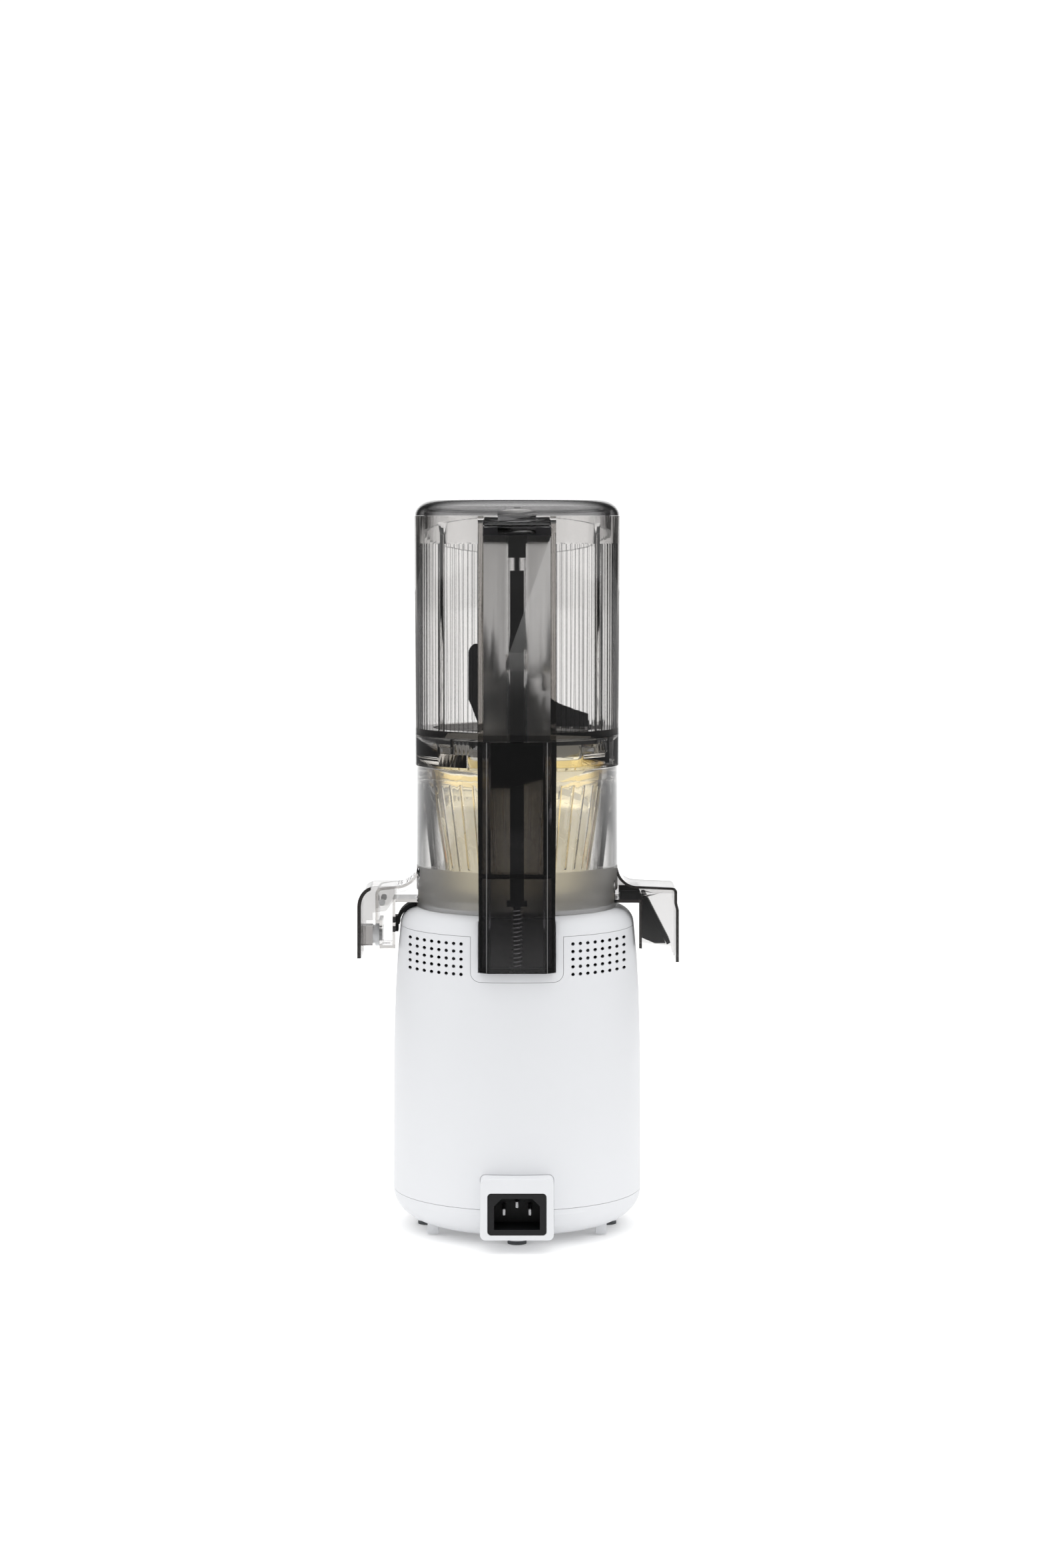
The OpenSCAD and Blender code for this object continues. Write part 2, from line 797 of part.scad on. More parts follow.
module switch_pin() {
    color(cream) translate([0, rod_y, rod_foot_z - pin_clear - switch_pin_len])
        cylinder(r = switch_pin_r, h = switch_pin_len);
}

// Moving pieces of the base

knob_back = dial_floor_y + seam_gap + run_gap;
pointer_w = 2.4;
pointer_sink = 1.2;
pointer_len = 6;
dial_bevel = 1.5;
pointer_rise = dial_r - 3 * dial_bevel - pointer_len;

module control_dial() {
    shaft_in = 6.5;
    shaft_end = dial_inner_y - shaft_in;
    y0 = dial_y;
    color(white) translate([0, 0, dial_z]) difference() {
        union() {
            pin_y(dial_r, dial_bevel - y0, -knob_back);
            translate([0, dial_bevel - y0, 0]) rotate([90, 0, 0])
                cylinder(r1 = dial_r, r2 = dial_r - dial_bevel, h = dial_bevel);
            pin_y(dial_shaft_r, -knob_back - over, -shaft_end);
        }
        translate([0, 0, pointer_rise - seat_gap]) along_y(-y0 - over, pointer_sink - y0)
            translate([-pointer_w / 2 - seat_gap, 0])
            square([pointer_w + 2 * seat_gap, pointer_len + 2 * seat_gap]);
    }
}

module dial_pointer() {
    color(black) translate([-pointer_w / 2, -dial_y, dial_z + pointer_rise])
        cube([pointer_w, pointer_sink - seat_gap, pointer_len]);
}

module motor_shaft() {
    below = 18;
    color(steel) translate([0, 0, motor_z - plate_t - below])
        cylinder(r = motor_shaft_r, h = gear_top + over - motor_z + plate_t + below);
}

module rotor_core() {
    color(steel) translate([0, 0, motor_z + core_end])
        ring(core_r - run_gap / 2, motor_shaft_r + seat_gap, motor_h - 2 * core_end);
}

module sun_gear() {
    color(steel) translate([0, 0, gear_z]) difference() {
        linear_extrude(gear_w) gear_outline(sun_teeth, addendum, dedendum, play);
        translate([0, 0, -over]) cylinder(r = motor_shaft_r + seat_gap, h = gear_w + 2 * over);
    }
}

module cooling_fan() {
    fan_inset = 9;
    fan_r = motor_r - fan_inset;
    fan_h = 8;
    fan_drop = 12;
    fan_hub = 8;
    blade_margin = 2;
    blade_w = fan_r - fan_hub - blade_margin;
    blade_t = 1.6;
    blades = 9;
    color(black) translate([0, 0, motor_z - plate_t - fan_drop]) difference() {
        union() {
            cylinder(r = fan_r, h = blade_t);
            cylinder(r = fan_hub, h = fan_h);
            around(blades, fan_hub + blade_w / 2 + over / 2) block(blade_w, blade_t, fan_h);
        }
        translate([0, 0, -over]) cylinder(r = motor_shaft_r + seat_gap, h = fan_h + 2 * over);
    }
}

carrier_z = gear_top + carrier_gap;
carrier_margin = 9.5;
carrier_r = planet_at + carrier_margin;

module planet_carrier() {
    hub = shaft_r + hub_wall;
    pin_len = gear_w + carrier_gap;
    color(steel) difference() {
        union() {
            translate([0, 0, carrier_z]) cylinder(r = carrier_r, h = carrier_t);
            translate([0, 0, carrier_z]) cylinder(r = hub, h = carrier_t + lip_t);
            around(carriers, planet_at) translate([0, 0, carrier_z - pin_len])
                cylinder(r = planet_pin_r, h = pin_len + over);
        }
        translate([0, 0, carrier_z - over])
            cylinder(r = shaft_r + seat_gap, h = carrier_t + lip_t + 2 * over);
    }
}

hex_len = 32;

module drive_shaft() {
    hex_z = base_top_z + seal_h;
    corner = hex_af / 2 / cos(30);
    color(steel) union() {
        translate([0, 0, carrier_z]) cylinder(r = shaft_r, h = hex_z - carrier_z);
        translate([0, 0, hex_z - over]) cylinder(r = corner, h = hex_len + over, $fn = 6);
    }
}

module planet_gear() {
    color(cream) translate([planet_at, 0, gear_z]) difference() {
        linear_extrude(gear_w) gear_outline(planet_teeth, addendum, dedendum, play);
        translate([0, 0, -over]) cylinder(r = planet_pin_r + pin_gap, h = gear_w + 2 * over);
    }
}

module planet_gear_1() {
    planet_gear();
}

module planet_gear_2() {
    rotate([0, 0, 360 / carriers]) planet_gear();
}

module planet_gear_3() {
    rotate([0, 0, 720 / carriers]) planet_gear();
}

// Juicing chamber

ring_wall = 2.9;
ring_in_r = ring_r - ring_wall;
ring_low_z = drum_top_z - ring_h;
rim_rise = 2;
rim_z = ring_low_z + rim_rise;
rim_h = 4;
web_drop = 5;
spigot_h = 9.9;
lug_h = 3;
lug_reach = 1;
lug_r = ring_in_r + lug_reach;
lug_half = 5;
lug_rise = 1.5;
lug_lift = hopper_z - spigot_h + lug_rise;
lugs = 4;

// What a spout passage takes out of the chamber along +X, grown by a wall
channel_rise = 4.2;
channel_z = drum_z + channel_rise;
channel_h = 5.2;
juice_inside = 5.3;
juice_from = bowl_low_r - juice_inside;
pulp_inside = 19.3;
pulp_from = bowl_low_r - pulp_inside;
module channel(half, grow, from) {
    translate([from - grow, -half - grow, channel_z - grow])
        cube([drum_r + over, 2 * (half + grow), channel_h + 2 * grow]);
}

module drum() {
    chamfer = 2;
    step = 0.9;
    slot_h = lug_h + 2 * run_gap;
    slot_r = lug_r + run_gap;
    slot_turn = lug_half + 1;
    floor_top = drum_floor_z + floor_t;
    low_out = bowl_low_r + bowl_wall;
    juice_in = juice_half - spout_wall;
    pulp_in = pulp_half - spout_wall;
    color(smoke) difference() {
        union() {
            rotate_extrude() polygon([
                [drum_r, drum_z], [drum_r, ring_low_z], [ring_r, ring_low_z + step],
                [ring_r, drum_top_z], [ring_in_r, drum_top_z], [ring_in_r, rim_z],
                [bowl_top_r, rim_z], [bowl_low_r, floor_top + 2 * chamfer],
                [bowl_low_r - chamfer, floor_top], [hub_r, floor_top],
                [hub_r, floor_top + hub_h], [shaft_r + seat_gap, floor_top + hub_h],
                [shaft_r + seat_gap, drum_floor_z], [bowl_low_r, drum_floor_z],
                [low_out, floor_top], [bowl_top_r + bowl_wall, rim_z - web_drop - chamfer],
                [drum_r - drum_wall, rim_z - web_drop - chamfer], [drum_r - drum_wall, drum_z]
            ]);
            difference() {
                intersection() {
                    union() {
                        channel(juice_in, spout_wall, juice_from);
                        rotate([0, 0, 180]) channel(pulp_in, spout_wall, pulp_from);
                    }
                    translate([0, 0, drum_z]) cylinder(r = drum_r - over, h = drum_h);
                }
                translate([0, 0, floor_top]) cylinder(r = bowl_low_r - chamfer, h = drum_h);
            }
        }
        channel(juice_in, 0, juice_from);
        rotate([0, 0, 180]) channel(pulp_in, 0, pulp_from);
        for (k = [0:lugs - 1]) rotate([0, 0, 45 + 90 * k]) {
            translate([0, 0, lug_lift - run_gap]) slice(slot_r, -slot_turn, twist + slot_turn, slot_h);
            translate([0, 0, lug_lift]) slice(slot_r, twist - slot_turn, twist + slot_turn, spigot_h);
        }
    }
}

grip_slant = 6;
grip_flat = 5;

// The grip's plan, set in by a wall
module grip_plan(inset) {
    half = grip_top_w / 2 - inset;
    face = column_y - inset;
    polygon([
        [-half, grip_y - 2 * lip_t + inset], [half, grip_y - 2 * lip_t + inset],
        [half, face - grip_flat + inset / 2], [half - grip_slant + inset / 2, face],
        [grip_slant - half - inset / 2, face], [-half, face - grip_flat + inset / 2]
    ]);
}

module grip() {
    top_z = drum_top_z;
    h = top_z - grip_z;
    low = grip_low_w / 2;
    top = grip_top_w / 2;
    hole = run_gap;
    guide_rise = 22;
    guide_z = base_top_z + guide_rise;
    hollow_y = grip_y + grip_wall / 2;
    hollow_half = grip_low_w / 2 - grip_wall;
    color(dark_smoke) difference() {
        intersection() {
            translate([0, 0, grip_z]) linear_extrude(h) grip_plan(0);
            along_y(0, column_y + over) translate([0, grip_z])
                polygon([[-low, 0], [low, 0], [top, h], [-top, h]]);
        }
        translate([0, 0, drum_z - run_gap]) cylinder(r = ring_r + seat_gap, h = drum_h + over);
        translate([0, grip_y - base_r / 2, grip_z - over])
            block(2 * base_r, base_r, drum_z - grip_z + over - run_gap);
        difference() {
            translate([0, 0, grip_z + grip_wall]) linear_extrude(h) intersection() {
                grip_plan(grip_wall);
                translate([-hollow_half, hollow_y]) square([2 * hollow_half, column_y]);
            }
            translate([0, grip_y, guide_z]) block(grip_top_w, column_y, grip_wall);
        }
        translate([0, rod_y, grip_z - over]) block(rod_w + 2 * hole, rod_t + 2 * hole, h + 2 * over);
    }
}

// The strainer stands on its collar and widens from there to its rim
strainer_z = drum_floor_z + floor_t + lip_t;
collar_rise = 9;
cone_z = strainer_z + collar_rise;
function strainer_in(z) = strainer_low_r - strainer_wall
    + (strainer_top_r - strainer_low_r) * max(0, z - cone_z) / (rim_z - cone_z);

module strainer() {
    rim_out = bowl_top_r + seam_gap;
    slot_margin = 4;
    slot_z = cone_z + slot_margin;
    slot_w = 1.2;
    slot_l = rim_z - slot_z - 2 * slot_margin;
    color(amber) difference() {
        rotate_extrude() polygon([
            [strainer_low_r, strainer_z], [strainer_low_r, cone_z], [strainer_top_r, rim_z],
            [rim_out, rim_z], [rim_out, rim_z + rim_h], [strainer_in(rim_z), rim_z + rim_h],
            [strainer_in(rim_z), rim_z], [strainer_in(cone_z), cone_z],
            [strainer_in(strainer_z), strainer_z]
        ]);
        around(strainer_slots, (strainer_low_r + strainer_top_r) / 2)
            translate([0, 0, slot_z]) block(base_r / 4, slot_w, slot_l);
    }
}

module bowl_seal() {
    color(black) translate([0, 0, drum_floor_z + floor_t + hub_h]) ring(hub_r, shaft_r, seal_h);
}

// Spouts
hang_gap = 1.25;
spout_low_z = drum_z - spout_drop;
spout_x = side_r(spout_low_z) + hang_gap;
deck_z = drum_z + deck_h;
sweep_from = 190;
neck_in = 5.9;
neck_x = drum_r - neck_in;
deck_crown = 0.8;
deck_corner = 3.8;
cap_front = 9.9;
juice_reach = cap_reach - cap_front;
nose_in = 2.3;
juice_nose = juice_reach - nose_in;
juice_step = 9.1;
juice_step_z = drum_z - juice_step;
pin_out = 7.3;
pin_x_at = spout_x + pin_out;
pin_rise = 2.7;
pin_z_at = drum_z + pin_rise;
cap_pin_r = 1.7;
strip_reach = 15;
strip_lap = 0.1;
strip_in = juice_half - strip_lap;
mouth_margin = 1.2;
mouth_z = spout_low_z + mouth_r + mouth_margin;
ear_clear = 11.6;
strap_half = 7;
nub_half = 5;
nub_h = 3.2;
cap_wall = 2;
plug_at = 5.6;

// The juice spout's outline in X and Z, set in by a wall
module juice_outline(inset) {
    corner = deck_corner - inset;
    sweep = deck_sweep + inset;
    reach = spout_x + juice_reach;
    low = channel_z - spout_wall + inset;
    polygon(concat(
        arc(spout_x, deck_z + deck_sweep, sweep, sweep, sweep_from, 270),
        arc(reach - deck_corner, deck_z - deck_crown - deck_corner, corner, corner, 90, 0, 4),
        [
            [reach - inset, juice_step_z + inset],
            [spout_x + juice_nose - inset, juice_step_z + inset],
            [spout_x + juice_nose - inset, spout_low_z + inset],
            [spout_x + inset, spout_low_z + inset], [spout_x + inset, low], [neck_x, low]
        ]
    ));
}

module juice_spout() {
    strip_h = 3.4;
    strip_top = 268;
    color(smoke) difference() {
        union() {
            along_y(-juice_half, juice_half) juice_outline(0);
            for (y = [-strip_reach, strip_in]) along_y(y, y + strip_reach - strip_in) difference() {
                polygon(concat(
                    arc(spout_x, deck_z + deck_sweep, deck_sweep, deck_sweep, sweep_from, strip_top),
                    flip(arc(spout_x, deck_z + deck_sweep, deck_sweep + strip_h, deck_sweep + strip_h,
                        sweep_from, strip_top))
                ));
                translate([pin_x_at, pin_z_at]) circle(ear_clear);
            }
        }
        along_y(spout_wall - juice_half, juice_half - spout_wall) juice_outline(spout_wall);
        translate([0, 0, drum_z - spout_drop]) cylinder(r = drum_r + seat_gap, h = drum_h);
        translate([0, 0, mouth_z]) pin_x(mouth_r, spout_x + 2 * spout_wall, spout_x + cap_reach);
        translate([pin_x_at, 0, pin_z_at]) pin_y(cap_pin_r + seat_gap, -strip_reach, strip_reach);
        for (z = [1, -nub_h - 1]) translate([spout_x, 0, shoulder_z + z - seat_gap])
            block(2 * spout_wall + over, 2 * nub_half + 2 * seat_gap, nub_h + 2 * seat_gap);
    }
}

module drain_plug() {
    strap_t = 2;
    lap = 84;
    strap_in = shoulder_round + run_gap;
    nub_in = 1.3;
    nub_out = 1.8;
    tail_h = nub_h + 1;
    color(black) {
        along_y(-strap_half, strap_half) polygon(concat(
            arc(shoulder_x, shoulder_z, strap_in, strap_in, 0, lap),
            flip(arc(shoulder_x, shoulder_z, strap_in + strap_t, strap_in + strap_t, 0, lap))
        ));
        translate([spout_x - nub_in, -nub_half, shoulder_z - tail_h])
            cube([nub_in - 2 * seat_gap, 2 * nub_half, tail_h]);
        for (z = [1, -nub_h - 1]) translate([spout_x - nub_in, -nub_half, shoulder_z + z])
            cube([nub_in + nub_out, 2 * nub_half, nub_h]);
    }
}

module cap_pins() {
    pin_in = 11;
    color(steel) translate([pin_x_at, 0, pin_z_at]) {
        pin_y(cap_pin_r, pin_in, strip_reach);
        pin_y(cap_pin_r, -strip_reach, -pin_in);
    }
}

// The cap's ears lie outside the spout's body, and everything between them clears its corner
module juice_cap() {
    ear_in = juice_half + run_gap;
    ear_back = 7.2;
    ear_top = 8.8;
    knuckle = 4.5;
    front_x = spout_x + cap_reach;
    front = front_x - pin_x_at;
    low = -30.9;
    notch_x = 5.1;
    notch_z = -13;
    bend = 9.3;
    skirt_t = 3.6;
    heel = 3.6;
    lip = 1.9;
    top_from = 6.3;
    plug_w = 10;
    plug_low = -25;
    plug_top = -14;
    color(smoke) translate([pin_x_at, 0, pin_z_at]) difference() {
        union() {
            for (y = [-strip_reach, ear_in]) along_y(y, y + strip_reach - ear_in) polygon(concat(
                [[-ear_back, cap_wall], [-ear_back, ear_top]],
                arc(front - bend, ear_top - bend - cap_wall, bend, bend + cap_wall, 90, 0),
                [
                    [front, low], [front - lip, low], [front - skirt_t, low + heel],
                    [front - skirt_t, notch_z], [notch_x, notch_z], [notch_x, -knuckle - over],
                    [-knuckle / 2, -knuckle]
                ]
            ));
            along_y(-ear_in - over, ear_in + over) difference() {
                intersection() {
                    polygon(concat(
                        [[0, low], [0, ear_top]],
                        arc(front - bend, ear_top - bend - cap_wall, bend, bend + cap_wall, 90, 0),
                        [[front, low]]
                    ));
                    translate([top_from, low]) square([front, ear_top - low]);
                }
                polygon(concat(
                    [[0, low - over], [0, ear_top - cap_wall]],
                    arc(front - bend, ear_top - bend - cap_wall, bend - cap_wall, bend, 90, 0),
                    [[front - cap_wall, low - over]]
                ));
            }
            translate([plug_at, -plug_w / 2, plug_low])
                cube([front - plug_at - cap_wall / 2, plug_w, plug_top - plug_low]);
        }
        pin_y(cap_pin_r + pin_gap, -strip_reach - over, strip_reach + over);
    }
}

module cap_plug() {
    face_x = spout_x + juice_nose;
    disc_r = 6.6;
    plate = 2.7;
    nose_t = 1.4;
    stem_in = 1.4;
    color(white) translate([0, 0, mouth_z]) {
        pin_x(mouth_r - run_gap, face_x - nose_t, face_x + plate);
        pin_x(disc_r, face_x + run_gap, face_x + plate);
        pin_x(disc_r - stem_in, face_x + run_gap, pin_x_at + plug_at - seat_gap / 2);
    }
}

pulp_sweep_in = 1.6;
pulp_sweep = deck_sweep - pulp_sweep_in;
pulp_front = spout_x + pulp_reach;
gate_t = 2.2;
flap_gap = 0.3;
spout_corner = [spout_x, drum_z];
gate_top_at = [3.9, 6.8];
gate_low_at = [17.4, -19.6];
gate_pin_at = [3.1, 5.6];
gate_top = spout_corner + gate_top_at;
gate_low = spout_corner + gate_low_at;
gate_pin = spout_corner + gate_pin_at;
gate_pin_r = 1;
gate_len = norm(gate_low - gate_top);
gate_in = [gate_top[1] - gate_low[1], gate_low[0] - gate_top[0]] / -gate_len;

// The pulp spout's outline in X and Z, set in by a wall, as it would point along +X
module pulp_outline(inset) {
    nose_round = 3;
    corner = nose_round - inset;
    sweep = pulp_sweep + inset;
    step = 0.9;
    high_rise = 0.4;
    high = deck_z + high_rise;
    bend_drop = 1.2;
    bend_z = drum_z - bend_drop;
    hem = 2.2;
    hem_rise = 5.4;
    wall_drop = 30.2;
    low = drum_z - wall_drop;
    wall_x = pulp_front - inset;
    mid = channel_z - spout_wall + inset;
    open_floor = 9 * inset;
    polygon(concat(
        arc(spout_x - step, high + pulp_sweep, sweep, sweep, sweep_from, 270),
        arc(pulp_front - step - nose_round, high - deck_crown - nose_round, corner, corner, 90, 0, 4),
        [
            [wall_x - step, drum_z + hem], [wall_x, bend_z], [wall_x, low],
            [wall_x - hem + inset, low - 2 * inset],
            [wall_x - hem - step, low + hem_rise - open_floor],
            [spout_x + inset, spout_low_z + step / 2 - open_floor],
            [spout_x + inset, mid], [neck_x, mid]
        ]
    ));
}

module pulp_spout() {
    strip_out = pulp_half + spout_wall;
    strip_h = 3.4;
    color(smoke) rotate([0, 0, 180]) difference() {
        union() {
            along_y(-pulp_half, pulp_half) pulp_outline(0);
            along_y(-strip_out, strip_out) intersection() {
                pulp_outline(0);
                translate([neck_x, deck_z - strip_h]) square([pulp_reach + spout_x, drum_h]);
            }
        }
        along_y(spout_wall - pulp_half, pulp_half - spout_wall) pulp_outline(spout_wall);
        translate([0, 0, drum_z - 2 * spout_drop]) cylinder(r = drum_r + seat_gap, h = drum_h);
        translate([gate_pin[0], 0, gate_pin[1]])
            pin_y(gate_pin_r + pin_gap, over / 2 - pulp_half, pulp_half - over / 2);
    }
}

module pulp_packing() {
    side = pulp_half - spout_wall - 2 * seat_gap;
    wall = 1.1;
    floor_h = 1.5;
    web_x = spout_x + spout_wall + 2 * seat_gap;
    low_z = spout_low_z + spout_wall;
    top_z = channel_z + channel_h - 2 * seat_gap;
    far = 13;
    slant = gate_in * (gate_t + flap_gap);
    run = (gate_low - gate_top) / 2;
    aside = [pulp_reach, pulp_reach];
    a = gate_low + slant;
    b = gate_top + slant;
    end_x = drum_r + over;
    color(black) rotate([0, 0, 180]) difference() {
        along_y(-side, side) difference() {
            polygon([
                [end_x, channel_z + 2 * seat_gap], [web_x, channel_z + 2 * seat_gap],
                [web_x, low_z + floor_h * 3], [a[0] - far / 2, low_z + floor_h],
                [pulp_front, low_z + floor_h], [pulp_front, top_z], [end_x, top_z]
            ]);
            polygon([b - run, a + run, a + run + aside, b - run + aside]);
        }
        along_y(wall - side, side - wall) polygon([
            [web_x + wall, channel_z - over], [web_x + wall, low_z + floor_h * 4],
            [a[0] - far / 2, low_z + 2 * floor_h], [pulp_front, low_z + 2 * floor_h],
            [pulp_front, channel_z]
        ]);
        along_y(wall - side, side - wall) translate([end_x - over, channel_z + floor_h])
            square([far * 2, channel_h]);
    }
}

module pulp_gate() {
    side = pulp_half - spout_wall - flap_gap;
    color(black) rotate([0, 0, 180]) {
        along_y(-side, side) polygon([
            gate_top, gate_low, gate_low + gate_in * gate_t, gate_top + gate_in * gate_t
        ]);
        translate([gate_pin[0], 0, gate_pin[1]]) pin_y(gate_pin_r, over - pulp_half, pulp_half - over);
    }
}

// Auger

auger_z = drum_floor_z + floor_t + lip_t;
auger_round = 5;
auger_low_r = strainer_low_r - strainer_wall - press_gap_low;
auger_top_r = strainer_in(auger_z + auger_h - auger_round) - press_gap_top;
wing_rise = 4;
wing_z = hopper_z + wing_rise;
wing_r = hopper_in_r - wing_gap;

// A helical rib between two radii, as one closed solid made of four-cornered sections
module helix_rib(in0, out0, in1, out1, z0, z1, from, to, t, n) {
    ring_points = [for (i = [0:n]) let (s = i / n, a = from + (to - from) * s, z = z0 + (z1 - z0) * s,
        ri = in0 + (in1 - in0) * s, ro = out0 + (out1 - out0) * s)
        each [
            [ri * cos(a), ri * sin(a), z], [ro * cos(a), ro * sin(a), z],
            [ro * cos(a), ro * sin(a), z + t], [ri * cos(a), ri * sin(a), z + t]
        ]];
    last = 4 * n;
    polyhedron(ring_points, concat(
        [[0, 1, 2, 3]],
        [for (i = [0:n - 1], k = [0:3]) let (p = 4 * i + k, q = 4 * i + (k + 1) % 4)
            each [[p, p + 4, q], [q, p + 4, q + 4]]],
        [[last + 3, last + 2, last + 1, last]]
    ));
}

module auger() {
    neck_r = 20;
    top_r = 14;
    shoulder_h = 9;
    recess_r = hub_r + lip_t;
    recess_h = 12;
    hollow_in = 18;
    ribs = 4;
    rib_t = 2.6;
    rib_gap = 0.5;
    rib_turn = 75;
    rib_steps = 20;
    flight_t = 4;
    flight_gap = 6.6;
    flight_turn = 200;
    body_top = auger_z + auger_h;
    top_z = hopper_z - run_gap;
    rib_top = body_top - 2 * auger_round;
    flight_z = body_top - auger_round / 2;
    color(cream) difference() {
        union() {
            rotate_extrude() polygon(concat(
                [[0, auger_z], [auger_low_r, auger_z], [auger_top_r, body_top - auger_round]],
                arc(auger_top_r - auger_round, body_top - auger_round, auger_round, auger_round, 0, 90, 4),
                [[neck_r, body_top + shoulder_h], [top_r, top_z], [0, top_z]]
            ));
            for (k = [0:ribs - 1]) helix_rib(
                auger_low_r - over, strainer_in(cone_z) - rib_gap, auger_top_r - 3 * over,
                strainer_in(rib_top) - rib_gap, cone_z, rib_top, 360 * k / ribs,
                360 * k / ribs - rib_turn, rib_t, rib_steps
            );
            for (k = [0, 180]) helix_rib(
                top_r - over, auger_top_r, top_r - over, strainer_in(top_z) - flight_gap,
                flight_z, top_z - flight_t, k, k - flight_turn, flight_t, 2 * rib_steps
            );
        }
        translate([0, 0, auger_z - over]) cylinder(r = recess_r, h = recess_h + over);
        translate([0, 0, auger_z]) cylinder(r = (hex_af / 2 + 2 * seat_gap) / cos(30), h = hex_len, $fn = 6);
        translate([0, 0, auger_z - over])
            ring(auger_low_r - auger_round, hollow_in, auger_h - 2 * auger_round);
    }
}

module feed_wing() {
    t = 6;
    foot = 7;
    hub = 13;
    hub_top = 15;
    tip_x = 22;
    tip_r = 5;
    top_z = hopper_z + wing_h;
    color(black) translate([0, 0, hopper_z]) {
        cylinder(r = hub, h = hub_top);
        translate([0, 0, -run_gap]) cylinder(r = hub, h = 2 * run_gap);
        translate([0, 0, -hopper_z]) along_y(-t / 2, t / 2) {
            polygon([
                [-wing_r, wing_z], [-wing_r, wing_z + foot], [-tip_x, wing_z + hub_top - lip_t],
                [tip_x - tip_r, top_z - tip_r], [tip_x + tip_r, top_z - tip_r],
                [tip_x + tip_r, wing_z + hub_top], [tip_x - lip_t, wing_z]
            ]);
            translate([tip_x, top_z - tip_r]) circle(tip_r);
        }
    }
}

// Interlock rods and hopper

rod_collar_rise = 6.7;
collar_z = base_top_z + rod_collar_rise;
collar_h = 3;
spring_r = 2.9;
spring_wire = 0.4;

module lower_rod() {
    collar_w = 11;
    rod_top = drum_top_z + 2 * seat_gap;
    color(black) translate([0, rod_y, 0]) {
        translate([0, 0, rod_foot_z]) cylinder(r = switch_pin_r, h = collar_z - rod_foot_z + over);
        translate([0, 0, collar_z]) block(rod_w, rod_t, rod_top - collar_z);
        translate([0, 0, collar_z]) block(collar_w, rod_t, collar_h);
    }
}

module rod_spring() {
    turns = 14;
    sides = 6;
    per_turn = 12;
    z0 = grip_z + grip_wall + spring_wire + seat_gap;
    z1 = collar_z - spring_wire - seat_gap;
    n = turns * per_turn;
    points = [for (i = [0:n], k = [0:sides - 1]) let (a = 360 * i / per_turn, b = 360 * k / sides,
        r = spring_r + spring_wire * cos(b))
        [r * cos(a), r * sin(a), z0 + (z1 - z0) * i / n + spring_wire * sin(b)]];
    color(steel) translate([0, rod_y, 0]) polyhedron(points, concat(
        [[for (k = [0:sides - 1]) k]],
        [for (i = [0:n - 1], k = [0:sides - 1]) let (p = sides * i + k, q = sides * i + (k + 1) % sides)
            each [[p, p + sides, q], [q, p + sides, q + sides]]],
        [[for (k = [sides - 1:-1:0]) sides * n + k]]
    ));
}

hinge_inset = 3.7;
hinge_y = column_y - hinge_inset;
hinge_z = hopper_top_z - hinge_drop;
hinge_pin_r = 1.55;
hinge_hole_r = hinge_pin_r + seat_gap;
column_wall = 3;
column_back = 2.4;
column_drop = 10.4;
column_top_z = hopper_top_z - column_drop;
column_in = column_w / 2 - column_wall;
ear_w = 3.3;
flange_t = 3.6;
throat_inset = 6.9;
throat_r = ring_in_r - throat_inset;
spigot_r = ring_in_r - run_gap;
gasket_drop = 3.5;
gasket_z = hopper_z - gasket_drop;
gasket_h = 2;
gasket_deep = 1.2;

